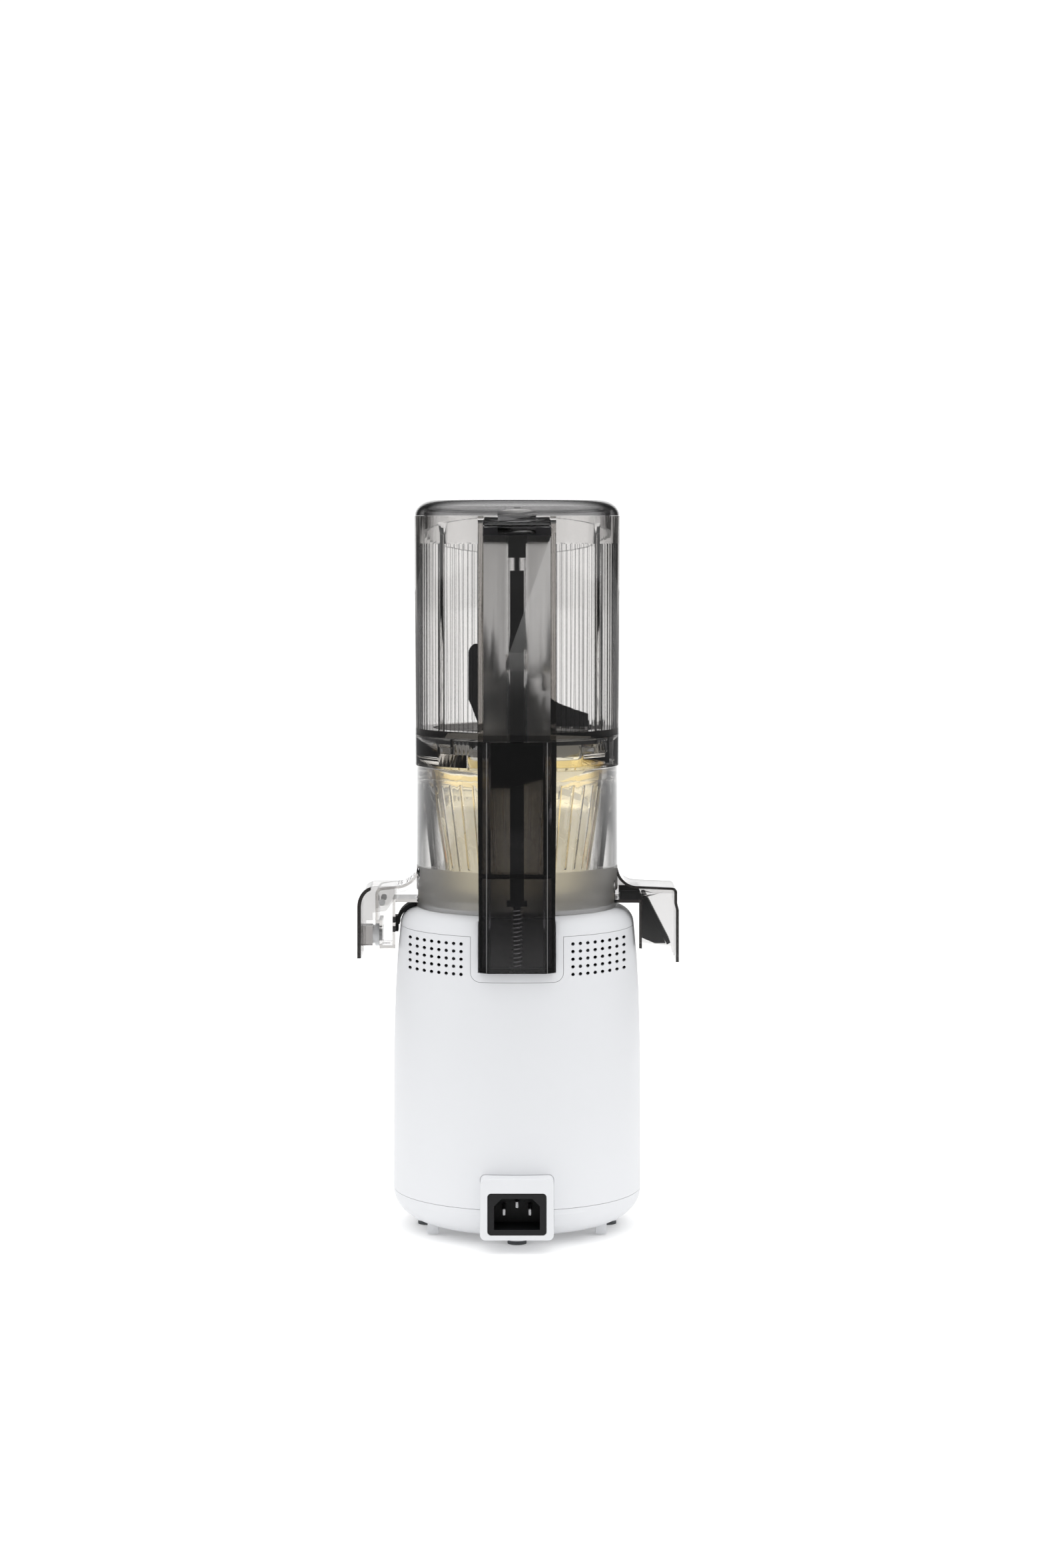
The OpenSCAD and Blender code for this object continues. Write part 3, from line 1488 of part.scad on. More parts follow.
module hopper() {
    flute_low = hopper_z + flange_t;
    plain_h = 15.3;
    flute_top = hopper_top_z - plain_h;
    spigot_wall = 2.6;
    collar_up = 37;
    collar_low = hopper_z + collar_up;
    collar_deep = 11.5;
    guide_h = 9.7;
    guide_w = 12.2;
    guide_gap = 0.25;
    rib_t = 2.2;
    rib_deep = 2;
    rib_low = 3;
    rib_h = 108;
    clip_up = 26;
    clip_z = hopper_z + clip_up;
    clip_w = 4.6;
    clip_h = 9;
    clip_d = 3;
    rib_in_left = 14.4;
    rib_in_right = 11.4;
    rib_x = [hopper_in_r - rib_in_left, rib_in_right - hopper_in_r];
    ear_low = 11;
    color(smoke) difference() {
        union() {
            difference() {
                translate([0, 0, hopper_z]) cylinder(r1 = hopper_low_r, r2 = hopper_top_r, h = hopper_h);
                translate([0, 0, flute_top - over]) cylinder(r = hopper_in_r, h = hopper_h);
                translate([0, 0, flute_low]) linear_extrude(flute_top - flute_low) polygon([
                    for (i = [0:2 * flutes - 1])
                        let (a = 180 * i / flutes, r = hopper_in_r + seat_gap + (i % 2) * flute_depth)
                        [r * cos(a), r * sin(a)]
                ]);
            }
            translate([0, 0, hopper_z - spigot_h]) cylinder(r = spigot_r, h = spigot_h + over);
            for (k = [0:lugs - 1]) rotate([0, 0, 45 + 90 * k]) translate([0, 0, lug_lift])
                slice(lug_r, -lug_half, lug_half, lug_h);
            difference() {
                union() {
                    translate([0, column_y / 2, hopper_z])
                        block(column_w, column_y, column_top_z - hopper_z);
                    for (side = [-1, 1]) translate([side * (column_w / 2 - column_wall / 2), 0, 0])
                        along_x(-column_wall / 2, column_wall / 2) {
                        translate([0, hinge_z - ear_low]) square([column_y, ear_low]);
                        translate([hinge_y, hinge_z]) circle(hinge_drop);
                        translate([0, hinge_z - over]) square([hinge_y, hinge_drop + over]);
                    }
                }
                translate([0, 0, hopper_z - over])
                    cylinder(r = hopper_low_r - over, h = hopper_h + 2 * over);
                difference() {
                    translate([0, 0, hopper_z - over]) block(
                        2 * column_in, 2 * (column_y - column_back), column_top_z - hopper_z + 2 * over
                    );
                    for (side = [-1, 1]) translate([side * (column_in - clip_w / 2), hopper_low_r, clip_z])
                        block(clip_w, 2 * clip_d, clip_h);
                    translate([0, hopper_low_r + collar_deep / 2 - clip_d, collar_low])
                        block(guide_w, collar_deep, guide_h);
                }
            }
            intersection() {
                translate([0, 0, hopper_z + rib_low])
                    ring(hopper_in_r + rib_deep / 2, hopper_in_r - rib_deep, rib_h);
                for (x = rib_x) translate([x, base_r / 2, hopper_z]) block(rib_t, base_r, hopper_h);
            }
        }
        translate([0, 0, hopper_z - spigot_h - over]) cylinder(r = spigot_r - spigot_wall, h = spigot_h);
        translate([0, 0, hopper_z - 2 * over]) cylinder(r = throat_r, h = hopper_h);
        translate([0, 0, gasket_z - seat_gap]) difference() {
            cylinder(r = spigot_r + over, h = gasket_h + 2 * seat_gap);
            cylinder(r = spigot_r - gasket_deep, h = gasket_h + 2 * seat_gap);
        }
        translate([0, rod_y, collar_low - over])
            block(rod_w + 2 * guide_gap, rod_t + 2 * guide_gap, guide_h + 2 * over);
        translate([0, hinge_y, hinge_z]) pin_x(hinge_hole_r, -column_w, column_w);
    }
}

module hopper_gasket() {
    color(black) translate([0, 0, gasket_z])
        ring(spigot_r + 2 * seat_gap, spigot_r - gasket_deep + seat_gap, gasket_h);
}

module hinge_pin() {
    color(steel) translate([0, hinge_y, hinge_z]) pin_x(hinge_pin_r, -column_w / 2, column_w / 2);
}

plunger_drop = 14;
plunger_z = hopper_top_z - plunger_drop;
plunger_t = 3.2;
plunger_stem = 8.5;
thin_rod_r = 1.2;
rod_split = 0.8;

module lid_plunger() {
    bar_half = column_in - run_gap;
    bar_deep = 12.4;
    bar_y = column_y - bar_deep;
    stem_w = 9.5;
    stem_d = 6;
    color(black) difference() {
        union() {
            translate([-bar_half, bar_y, plunger_z])
                cube([2 * bar_half, column_y - column_back - run_gap - bar_y, plunger_t]);
            translate([0, rod_y, plunger_z - plunger_stem]) block(stem_w, stem_d, plunger_stem + over);
        }
        translate([0, rod_y, plunger_z - plunger_stem - over])
            cylinder(r = thin_rod_r + seat_gap, h = plunger_stem - over);
    }
}

module upper_rod() {
    thin_h = 12.5;
    thin_show = 7;
    bar_top = plunger_z - plunger_stem - thin_show;
    bar_low = drum_top_z + rod_split;
    color(black) translate([0, rod_y, 0]) {
        translate([0, 0, bar_low]) block(rod_w, rod_t, bar_top - bar_low);
        translate([0, 0, bar_top - over]) cylinder(r = thin_rod_r, h = thin_h + over);
    }
}

module lid() {
    edge = 12;
    t = 2.2;
    skirt_gap = 2.2;
    skirt_r = hopper_in_r - skirt_gap;
    skirt_t = 2;
    skirt_lap = 0.5;
    knob_r = 1.9;
    knob_h = 4.5;
    arm_w = 20.6;
    arm_len = 17.3;
    arm_y = hinge_y - arm_len;
    heel = 2.9;
    heel_y = hinge_y + heel;
    barrel_r = heel - seat_gap;
    lobe_t = 3;
    lobe_len = 6.2;
    front_z = lid_z - skirt_h - run_gap;
    top_z = lid_z + lid_h;
    back_z = lid_z - run_gap;
    reach = base_r + base_r;
    color(smoke) difference() {
        union() {
            rotate_extrude() polygon(concat(
                arc(lid_r - edge, lid_z, edge, lid_h, 0, 90), [[0, top_z], [0, top_z - t]],
                flip(arc(lid_r - edge, lid_z, edge - t, lid_h - t, 0, 90))
            ));
            difference() {
                translate([0, 0, front_z]) ring(skirt_r, skirt_r - skirt_t, top_z - t - skirt_lap - front_z);
                along_x(-reach, reach) polygon([
                    [-skirt_r, front_z], [skirt_r, back_z], [reach, back_z], [reach, -reach],
                    [-reach, -reach], [-reach, front_z - skirt_h / 2]
                ]);
            }
            translate([0, 0, top_z - t - knob_h]) cylinder(r = knob_r, h = knob_h + over);
            along_x(-arm_w / 2, arm_w / 2) polygon([
                [hinge_y - heel, hinge_z], [heel_y, hinge_z], [heel_y, lid_z], [heel_y - t, lid_z + t],
                [arm_y, lid_z + t], [arm_y, lid_z], [hinge_y - heel, lid_z]
            ]);
            translate([0, hinge_y, hinge_z]) pin_x(barrel_r, run_gap - column_in, column_in - run_gap);
            translate([0, hinge_y, hinge_z - lobe_len]) block(arm_w, lobe_t, lobe_len);
        }
        translate([0, hinge_y, hinge_z]) pin_x(hinge_hole_r, -column_w, column_w);
    }
}

base_shell();
shoulder_cover();
bottom_cover();
rubber_feet();
bottom_screws();
inlet_surround();
inlet_socket();
inlet_pins();
dial_ring();
rotary_switch();
control_board();
board_parts();
motor_can();
stator();
motor_coils();
motor_lower_plate();
motor_upper_plate();
motor_bearings();
ring_gear();
gearbox_cover();
output_bearing();
gearbox_screws();
shaft_seal();
lid_switch();
switch_pin();
control_dial();
dial_pointer();
motor_shaft();
rotor_core();
sun_gear();
cooling_fan();
planet_carrier();
drive_shaft();
planet_gear_1();
planet_gear_2();
planet_gear_3();
drum();
grip();
strainer();
bowl_seal();
juice_spout();
drain_plug();
cap_pins();
juice_cap();
cap_plug();
pulp_spout();
pulp_packing();
pulp_gate();
auger();
feed_wing();
lower_rod();
rod_spring();
hopper();
hopper_gasket();
hinge_pin();
lid_plunger();
upper_rod();
lid();
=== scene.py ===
# %% [markdown]
# # Dressing a cold press juicer
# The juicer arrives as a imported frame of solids, in metres: +Z is up the drive axis, +X points to
# the juice spout, -X to the pulp spout and +Y to the grip. Nothing is moved or resized here. This
# file gives each solid its finish and adds the fine detail that a solid model leaves out. Where a
# piece or a pattern has to meet a solid, its place is measured on that solid with box().

# %% Load the frame
import json
from math import cos, pi, radians, sin

import bmesh
import bpy
from mathutils import Matrix, Vector

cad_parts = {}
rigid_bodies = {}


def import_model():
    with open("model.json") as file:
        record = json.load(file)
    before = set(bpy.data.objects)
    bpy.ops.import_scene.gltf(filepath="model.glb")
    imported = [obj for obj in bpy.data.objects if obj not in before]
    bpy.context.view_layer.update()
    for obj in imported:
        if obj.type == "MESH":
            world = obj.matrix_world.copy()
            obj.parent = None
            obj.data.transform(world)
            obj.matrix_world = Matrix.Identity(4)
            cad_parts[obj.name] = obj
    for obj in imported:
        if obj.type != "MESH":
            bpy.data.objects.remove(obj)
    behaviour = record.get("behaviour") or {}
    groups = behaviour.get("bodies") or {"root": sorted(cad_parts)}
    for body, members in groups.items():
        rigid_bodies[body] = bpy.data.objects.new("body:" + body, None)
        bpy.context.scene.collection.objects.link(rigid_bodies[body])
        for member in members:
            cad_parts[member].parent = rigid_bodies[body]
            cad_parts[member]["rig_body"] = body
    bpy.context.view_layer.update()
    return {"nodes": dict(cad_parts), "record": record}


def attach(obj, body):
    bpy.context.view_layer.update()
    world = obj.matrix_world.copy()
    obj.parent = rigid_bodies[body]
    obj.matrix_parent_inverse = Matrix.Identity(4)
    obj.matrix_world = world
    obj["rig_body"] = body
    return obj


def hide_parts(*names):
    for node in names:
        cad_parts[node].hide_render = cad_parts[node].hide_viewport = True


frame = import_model()
cad = frame["nodes"]


def box(name):
    """The lowest and the highest corner of a solid, which Blender lists first and seventh."""
    corners = cad[name].bound_box
    return Vector(corners[0]), Vector(corners[6])


# %% [markdown]
# ## Camera
# The photograph was taken from behind, level with the lid, with a long lens, and the frame was
# shifted down afterwards, so upright lines stay upright. A level camera with a vertical shift
# does the same, where a camera that is tipped down would make them lean together. The sensor's
# long side is the frame's height.

# %% Camera
EYE = Vector((-0.00297, 1.820, 0.395))
LENS_MM, SENSOR_MM = 75, 36
SHIFT_SHARE = -0.1722
FAR = 100


def linked(name, data):
    """A new object with its data, in the scene."""
    made = bpy.data.objects.new(name, data)
    bpy.context.scene.collection.objects.link(made)
    return made


camera = linked("camera", bpy.data.cameras.new("camera"))
bpy.context.scene.camera = camera
camera.location = EYE
camera.rotation_euler = (radians(90), 0, radians(180))
camera.data.lens = LENS_MM
camera.data.sensor_width = SENSOR_MM
camera.data.shift_y = SHIFT_SHARE
camera.data.clip_end = FAR
print("camera:", LENS_MM, "mm at", tuple(round(v, 3) for v in EYE))

# %% [markdown]
# ## Writing node trees as sums
# A finish is mostly arithmetic on patterns. This class wraps one socket of a tree, so that a sum
# in Python adds Math nodes. Its node() method adds any other kind: settings first, then sockets.

# %% A socket that does sums
class Shade:
    """A socket of a node tree. Sums on it add Math nodes, and node() adds any other node."""

    def __init__(self, tree, socket=None):
        self.tree = tree
        self.socket = socket

    def node(self, kind, settings=None, sockets=None, out=0):
        """One output of a new node, with its settings and the values or links of its sockets."""
        made = self.tree.nodes.new(kind)
        for name, value in (settings or {}).items():
            setattr(made, name, value)
        for name, value in (sockets or {}).items():
            if isinstance(value, Shade):
                self.tree.links.new(value.socket, made.inputs[name])
            else:
                made.inputs[name].default_value = value
        return Shade(self.tree, made.outputs[out] if made.outputs else None)

    def maths(self, operation, first, second=0.0):
        return self.node("ShaderNodeMath", {"operation": operation}, {0: first, 1: second})

    def __add__(self, other):
        return self.maths("ADD", self, other)

    __radd__ = __add__

    def __sub__(self, other):
        return self.maths("SUBTRACT", self, other)

    def __rsub__(self, other):
        return self.maths("SUBTRACT", other, self)

    def __mul__(self, other):
        return self.maths("MULTIPLY", self, other)

    __rmul__ = __mul__

    def __truediv__(self, other):
        return self.maths("DIVIDE", self, other)

    def size(self):
        return self.maths("ABSOLUTE", self)

    def larger(self, other):
        return self.maths("MAXIMUM", self, other)

    def step(self, low, high):
        """0 below low, 1 above high and a smooth rise between them."""
        return self.node(
            "ShaderNodeMapRange", {"interpolation_type": "SMOOTHSTEP"},
            {"Value": self, "From Min": low, "From Max": high},
        )

    def between(self, low, high, blur):
        """1 from low to high and 0 elsewhere, with each change spread over a blur above it."""
        return self.step(low, low + blur) * (1 - self.step(high, high + blur))

    def axes(self):
        """The x, y and z of a vector."""
        split = self.node("ShaderNodeSeparateXYZ", sockets={0: self})
        return [Shade(self.tree, socket) for socket in split.socket.node.outputs]


def emptied(owner):
    """The node tree of a world or a material, emptied and ready for sums."""
    owner.use_nodes = True
    owner.node_tree.nodes.clear()
    return Shade(owner.node_tree)


# %% [markdown]
# ## Studio
# The photograph is a cut-out on white: a bright card behind the juicer, large soft lights round the
# camera and above, a brighter one at each flank, and dim gaps between them and the card, which draw
# the dark outlines in clear plastic. Straight behind the camera the room is dim, so the flat faces
# of the grip and the column mirror something dark. Area lights would do, but light that reaches the
# auger through two clear walls would be noisy. A sky that is painted by direction gives the same
# light, and every ray that leaves the plastic finds it. Each light has a strength, and an edge: how
# far a direction has to point its way for the light to start, and to be full.

# %% Soft studio light
GAP_LIGHT = 0.05
CARD_LIGHT, CARD_EDGE = 1.05, (0.91, 0.972)
SIDE_LIGHT, SIDE_EDGE = 0.94, (-0.25, 0.10)
TOP_LIGHT, TOP_EDGE = 1.70, (0.42, 0.80)
FLANK_LIGHT, FLANK_EDGE, FLANK_END = 1.50, (0.66, 0.92), (-0.45, -0.15)
ROOM_DIMMING, ROOM_EDGE = 0.74, (0.80, 0.975)

world = bpy.data.worlds.new("studio")
bpy.context.scene.world = world
sky = emptied(world)
east, north, up = sky.node("ShaderNodeTexCoord").axes()
card = (0 - north).step(*CARD_EDGE) * CARD_LIGHT
sides = north.step(*SIDE_EDGE) * SIDE_LIGHT
overhead = up.step(*TOP_EDGE) * TOP_LIGHT
flanks = east.size().step(*FLANK_EDGE) * north.step(*FLANK_END) * FLANK_LIGHT
lights = card.larger(sides).larger(overhead).larger(flanks)
brightness = (lights + GAP_LIGHT) * (1 - north.step(*ROOM_EDGE) * ROOM_DIMMING)
backdrop = sky.node("ShaderNodeBackground", sockets={"Color": (1, 1, 1, 1), "Strength": brightness})
sky.node("ShaderNodeOutputWorld", sockets={"Surface": backdrop})
bpy.context.scene.view_settings.view_transform = "Standard"
print("studio: light from", GAP_LIGHT, "in the gaps to", TOP_LIGHT + GAP_LIGHT, "overhead")

# %% [markdown]
# ## Light paths
# A ray to the auger goes through the drum's wall and the strainer's, and back again, and meets a
# face on each side of each wall. With the usual number of bounces the longer paths would end
# inside, and the plastic would look darker than it is.

# %% Bounces
CLEAR_BOUNCES, DULL_BOUNCES = 24, 4
cycles = bpy.context.scene.cycles
cycles.max_bounces = CLEAR_BOUNCES
cycles.transmission_bounces = CLEAR_BOUNCES
cycles.transparent_max_bounces = CLEAR_BOUNCES
cycles.diffuse_bounces = DULL_BOUNCES
print("bounces:", CLEAR_BOUNCES, "through clear plastic and", DULL_BOUNCES, "between dull faces")

# %% [markdown]
# ## Finishes
# Every finish starts in the same way: an empty tree, and the object's own coordinates, which are
# metres in the frame. A pattern's scale is then the number of its cells in a metre.

# %% What every finish starts with
def new_finish(name):
    """An empty material and the start of its tree."""
    material = bpy.data.materials.new(name)
    return material, emptied(material)


def place(tree, stretch=None):
    """The piece's own coordinates, stretched where a pattern has a grain."""
    coordinates = tree.node("ShaderNodeTexCoord", out="Object")
    if stretch:
        return tree.node("ShaderNodeMapping", sockets={"Vector": coordinates, "Scale": stretch})
    return coordinates


def cloud(tree, where, cells, detail=2.0):
    """A soft random pattern from 0 to 1."""
    sockets = {"Vector": where, "Scale": cells, "Detail": detail}
    return tree.node("ShaderNodeTexNoise", sockets=sockets)


def mixed(tree, share, first, second):
    """A colour between two others. A Mix node's colour is its third output."""
    return tree.node(
        "ShaderNodeMix", {"data_type": "RGBA"},
        {"Factor": share, "A": (*first, 1), "B": (*second, 1)}, out=2,
    )


def relief(tree, height, depth):
    """A normal bent by a height pattern, whose full range is depth metres."""
    return tree.node("ShaderNodeBump", sockets={"Height": height, "Distance": depth})


# %% What every finish ends in
DENSITY_MARGIN = 1.05


def surface(tree, sockets, absorption=None):
    """Ends a tree in one Principled surface, over clear tinted matter where absorption is given."""
    ends = {"Surface": tree.node("ShaderNodeBsdfPrincipled", sockets=sockets)}
    if absorption:
        density = max(absorption) * DENSITY_MARGIN
        tint = [1 - a / density for a in absorption]
        matter = {"Color": (*tint, 1), "Density": density}
        ends["Volume"] = tree.node("ShaderNodeVolumeAbsorption", sockets=matter)
    tree.node("ShaderNodeOutputMaterial", sockets=ends)


# %% [markdown]
# ### Moulded plastics
# The base is satin white: a pale colour with almost no hue, a middling roughness that drifts a
# little where the mould was polished more, and a spark-eroded grain too fine to see from afar.
# Noise makes both, because a picture laid over the piece would need a seam. The auger's resin is
# milky: it passes light on inside itself. Subsurface scattering would do that slowly and with
# noise, so a weak glow in the resin's own colour stands for it.

# %% Opaque moulded plastics
DRIFT_CELLS = 14
RESIN_INDEX = 1.53


def moulded(name, colour, roughness, grain=0.00002, cells=1400, drift=0.06, tone=0.03,
            shine=0.5, glow=0.0):
    """A moulded plastic: drifting gloss, slight changes of tone and a fine grain."""
    material, tree = new_finish(name)
    where = place(tree)
    wide = cloud(tree, where, DRIFT_CELLS, 3)
    fine = cloud(tree, where, cells, 1)
    darker = [c * (1 - tone) for c in colour]
    surface(tree, {
        "Base Color": mixed(tree, wide, darker, colour),
        "Roughness": (wide - 0.5) * drift + roughness,
        "Normal": relief(tree, fine, grain),
        "IOR": RESIN_INDEX,
        "Specular IOR Level": shine,
        "Emission Color": (*colour, 1),
        "Emission Strength": glow,
    })
    return material


white_body = moulded("white_body", (0.735, 0.745, 0.765), 0.42)
white_clip = moulded("white_clip", (0.70, 0.71, 0.72), 0.35)
cream = moulded("cream_resin", (0.95, 0.92, 0.83), 0.38, glow=0.38)
gear_resin = moulded("gear_resin", (0.78, 0.74, 0.62), 0.45)
black = moulded("satin_black", (0.006, 0.006, 0.007), 0.38, shine=0.22)
socket_black = moulded("socket_black", (0.004, 0.004, 0.005), 0.5, shine=0.3)
rubber = moulded("black_rubber", (0.006, 0.006, 0.006), 0.55, 0.00004, 900, shine=0.2)
foot_rubber = moulded("grey_rubber", (0.06, 0.065, 0.07), 0.7, 0.00004, 900)
shade_baffle_grey = moulded("shade_baffle_grey", (0.07, 0.07, 0.075), 0.5, shine=0.2)
board_green = moulded("board_green", (0.015, 0.11, 0.05), 0.3, 0.00003, 600, 0.1, 0.3)
print("moulded:", [m.name for m in (white_body, white_clip, cream, gear_resin, black)])
print("and:", [m.name for m in (socket_black, rubber, foot_rubber, shade_baffle_grey, board_green)])

# %% [markdown]
# ### Smoked and amber plastics
# The hopper, chamber, lid and grip are clear plastic with a smoke dye. The dye darkens light in
# proportion to the length of its way through the plastic, which is why the edges of a clear tube
# look dark and its face looks pale. So the surface is colourless glass, and the tint is a volume
# that absorbs light: each tint is written as what it takes from red, green and blue in a metre.
# Blender takes density times (1 - colour) of each, so surface() works those two out of it. Tinted
# glass alone would be quicker, but it would be as dark at its face as at its edges.

# %% A clear dyed plastic
CLEAR = (1, 1, 1)
UNLIT = (0, 0, 0)
GLASS_INDEX = 1.50
GLOSS_CELLS, GLOSS_DRIFT = 40, 0.02
WAVE_CELLS, WAVE_DEPTH = 55, 0.000012


def dyed(name, absorption, roughness=0.02, index=GLASS_INDEX, painted_light_and_matt=None):
    """A clear plastic with a dye. The function given for one piece, called with (tree, where,
    sockets), adds the painted shade or glints and the dullness that only that piece shows.
    """
    material, tree = new_finish(name)
    where = place(tree)
    sockets = {
        "Base Color": (*CLEAR, 1),
        "Roughness": cloud(tree, where, GLOSS_CELLS) * GLOSS_DRIFT + roughness,
        "IOR": index,
        "Transmission Weight": 1.0,
        "Normal": relief(tree, cloud(tree, where, WAVE_CELLS, 1), WAVE_DEPTH),
        "Emission Color": (*UNLIT, 1),
        "Emission Strength": 0.0,
    }
    # Painted shade or glints, and dullness, for one piece alone.
    if painted_light_and_matt:
        painted_light_and_matt(tree, where, sockets)
    surface(tree, sockets, absorption)
    return material


# %% [markdown]
# ### Painted shade on the hopper
# An even dye doesn't give all of the hopper's light and shade. The hopper has 120 shallow flutes
# inside, and a dark line of shade shows in each, where the solid's plain grooves only bend light.
# The rear wall of its column and the band at its foot look darker too. Round flutes would need a
# far finer mesh, and a second dye would need the solid split. So this shade is painted by place: a
# share from 0 to 1, worked out from the piece's own x, y and z, that mixes a dark tone into the
# glass's colour. The angle round the drive axis is counted in flutes, from well above zero, and the
# fraction of that count says how far a place lies from a line. Heights are measured from the
# hopper's foot or its top. The column's rear wall is shaded on its inside face alone, which lies
# between two distances from its outside face.

# %% Painted shade on the hopper
# The dark tone of the hopper's painted shade.
HOPPER_SHADE = (0.02, 0.02, 0.025)
EDGE_BLUR = 0.0002
FLUTES, FLUTE_R = 120, 0.0556
FLUTE_RISE, FLUTE_DROP = 0.0135, 0.0152
LINE_WIDTH_SHARES = (0.06, 0.15)
LINE_SHADE, FOOT_SHADE, RIM_SHADE = 0.84, 0.75, 0.06
FOOT_BLUR, RIM_BLUR = 0.0003, 0.0005
REAR_FROM, REAR_TO, REAR_BLUR = 0.0026, 0.0010, 0.0001
REAR_SHADE, REAR_LOW_SHADE, REAR_LOW_RISE = 0.55, 0.30, (0.018, 0.052)
REAR_MATT, REAR_SIDE_MATT, REAR_SIDE = 0.04, 0.32, (0.0030, 0.007)
COUNT_FROM = 100

hopper_low, hopper_high = box("hopper")
flute_low, flute_high = hopper_low.z + FLUTE_RISE, hopper_high.z - FLUTE_DROP
rear_fade = [hopper_low.z + rise for rise in REAR_LOW_RISE]
print("flutes:", FLUTES, "from", round(flute_low, 4), "to", round(flute_high, 4), "m")


def hopper_shade_and_matt(tree, where, sockets):
    """Painted shade in the flute lines, on the rear wall, foot band and rim, and a rear wall that
    is dull at its sides.
    """
    x, y, z = where.axes()
    count = tree.maths("ARCTAN2", y, x) * (FLUTES / (2 * pi)) + COUNT_FROM
    off_line = (tree.maths("FRACT", count) - 0.5).size()
    inner = 1 - tree.maths("SQRT", x * x + y * y).step(FLUTE_R, FLUTE_R + EDGE_BLUR)
    fluted = inner * z.between(flute_low, flute_high, EDGE_BLUR)
    line = (1 - off_line.step(*LINE_WIDTH_SHARES)) * fluted * LINE_SHADE
    rear = y.between(hopper_high.y - REAR_FROM, hopper_high.y - REAR_TO, REAR_BLUR)
    # The rear wall's painted shade, deeper towards the hopper's foot.
    tinted = rear * ((1 - z.step(*rear_fade)) * REAR_LOW_SHADE + REAR_SHADE)
    foot = (1 - z.step(flute_low - FOOT_BLUR, flute_low)) * FOOT_SHADE
    rim = z.step(flute_high, flute_high + RIM_BLUR) * RIM_SHADE
    matt = rear * (x.size().step(*REAR_SIDE) * REAR_SIDE_MATT + REAR_MATT)
    # Painted shade: flute lines, rear wall, foot band and rim darken the glass's colour alike from
    # every side.
    dark = line.larger(tinted).larger(foot).larger(rim)
    sockets["Base Color"] = mixed(tree, dark, CLEAR, HOPPER_SHADE)
    sockets["Roughness"] = sockets["Roughness"] + matt


# %% [markdown]
# ### Painted shade on the chamber and painted glints on the grip
# The chamber is frosted below and clear above. From the front or the back, the walls at its two
# sides are seen along their length and look dark, and so does its upper ring. That shade is painted
# into the glass's colour, so it stays in place from every side. The grip's rear face shows two thin
# upright glints. A strip light could draw them, but it would show in every other clear face too, so
# a small emission paints them on as highlights.

# %% Painted shade on the chamber and glints on the grip
# The dark tone of the chamber's painted shade.
CHAMBER_SHADE = (0.03, 0.027, 0.024)
FROST_RISE, FROST_UNDER, FROST_MATT = 0.0228, 0.0001, 0.36
WALL_SHADE, WALL_REACH, WALL_BLUR = 0.56, (0.009, 0.021), 0.0004
RING_DROP, RING_SHADE, RING_REACH, RING_BLUR = 0.0171, 0.55, (0.018, 0.034), 0.0003
GLINT_IN, GLINT_DEEP, GLINT_WIDTH, GLINT_LIGHT = 0.0046, 0.0010, (0.0001, 0.0007), 0.62

drum_low, drum_high = box("drum")
grip_high = box("grip")[1]
frost_top, ring_low = drum_low.z + FROST_RISE, drum_high.z - RING_DROP
glint_x, glint_y = grip_high.x - GLINT_IN, grip_high.y - GLINT_DEEP
print("frost up to", round(frost_top, 4), "m, ring from", round(ring_low, 4), "m")


def chamber_shade_and_frost(tree, where, sockets):
    """A frosted band below, and painted shade on the walls and ring at the chamber's two sides."""
    y, z = where.axes()[1:]
    off = y.size()
    walls = (1 - off.step(*WALL_REACH)) * z.step(frost_top, frost_top + WALL_BLUR) * WALL_SHADE
    ring = (1 - off.step(*RING_REACH)) * z.step(ring_low, ring_low + RING_BLUR) * RING_SHADE
    frost = z.between(drum_low.z - FROST_UNDER, frost_top, EDGE_BLUR) * FROST_MATT
    # Painted shade on the side walls and the ring, mixed into the glass's colour.
    sockets["Base Color"] = mixed(tree, walls.larger(ring), CLEAR, CHAMBER_SHADE)
    sockets["Roughness"] = sockets["Roughness"] + frost


def grip_painted_glints(tree, where, sockets):
    """A thin glint down each side of the grip's rear face."""
    x, y = where.axes()[:2]
    line = 1 - (x.size() - glint_x).size().step(*GLINT_WIDTH)
    glint = line * y.step(glint_y, glint_y + EDGE_BLUR)
    # Painted highlight: the two glints glow in the glass.
    sockets["Emission Color"] = mixed(tree, glint, UNLIT, CLEAR)
    sockets["Emission Strength"] = GLINT_LIGHT


# %% Each clear plastic
hopper_smoke = dyed("hopper_smoke", (68, 72, 76), painted_light_and_matt=hopper_shade_and_matt)
drum_smoke = dyed("drum_smoke", (22, 24, 27), painted_light_and_matt=chamber_shade_and_frost)
lid_smoke = dyed("lid_smoke", (310, 312, 310), 0.04)
juice_smoke = dyed("juice_smoke", (22, 23, 24))
spout_smoke = dyed("spout_smoke", (118, 121, 123))
cap_smoke = dyed("cap_smoke", (128, 132, 134))
skirt_smoke = dyed("skirt_smoke", (40, 42, 42))
grip_smoke = dyed("grip_smoke", (420, 430, 420), 0.05, painted_light_and_matt=grip_painted_glints)
amber = dyed("amber_resin", (8, 40, 150), 0.05, index=1.30)
print("smoked:", [m.name for m in (hopper_smoke, drum_smoke, lid_smoke, juice_smoke, spout_smoke)])
print("and:", [m.name for m in (cap_smoke, skirt_smoke, grip_smoke, amber)])

# %% [markdown]
# ### Metals
# Turned and rolled steel shows a grain along its machining. A noise pattern that is stretched in
# one direction gives that grain in colour, roughness and relief at once, where an anisotropic
# reflection would show only in the highlights. The stretch is the number of the pattern's cells in
# a metre along each axis.

# %% Metals
METAL_GRAIN = 0.000008
LINE_TONE_SHARE, LINE_DRIFT = 0.78, 0.16


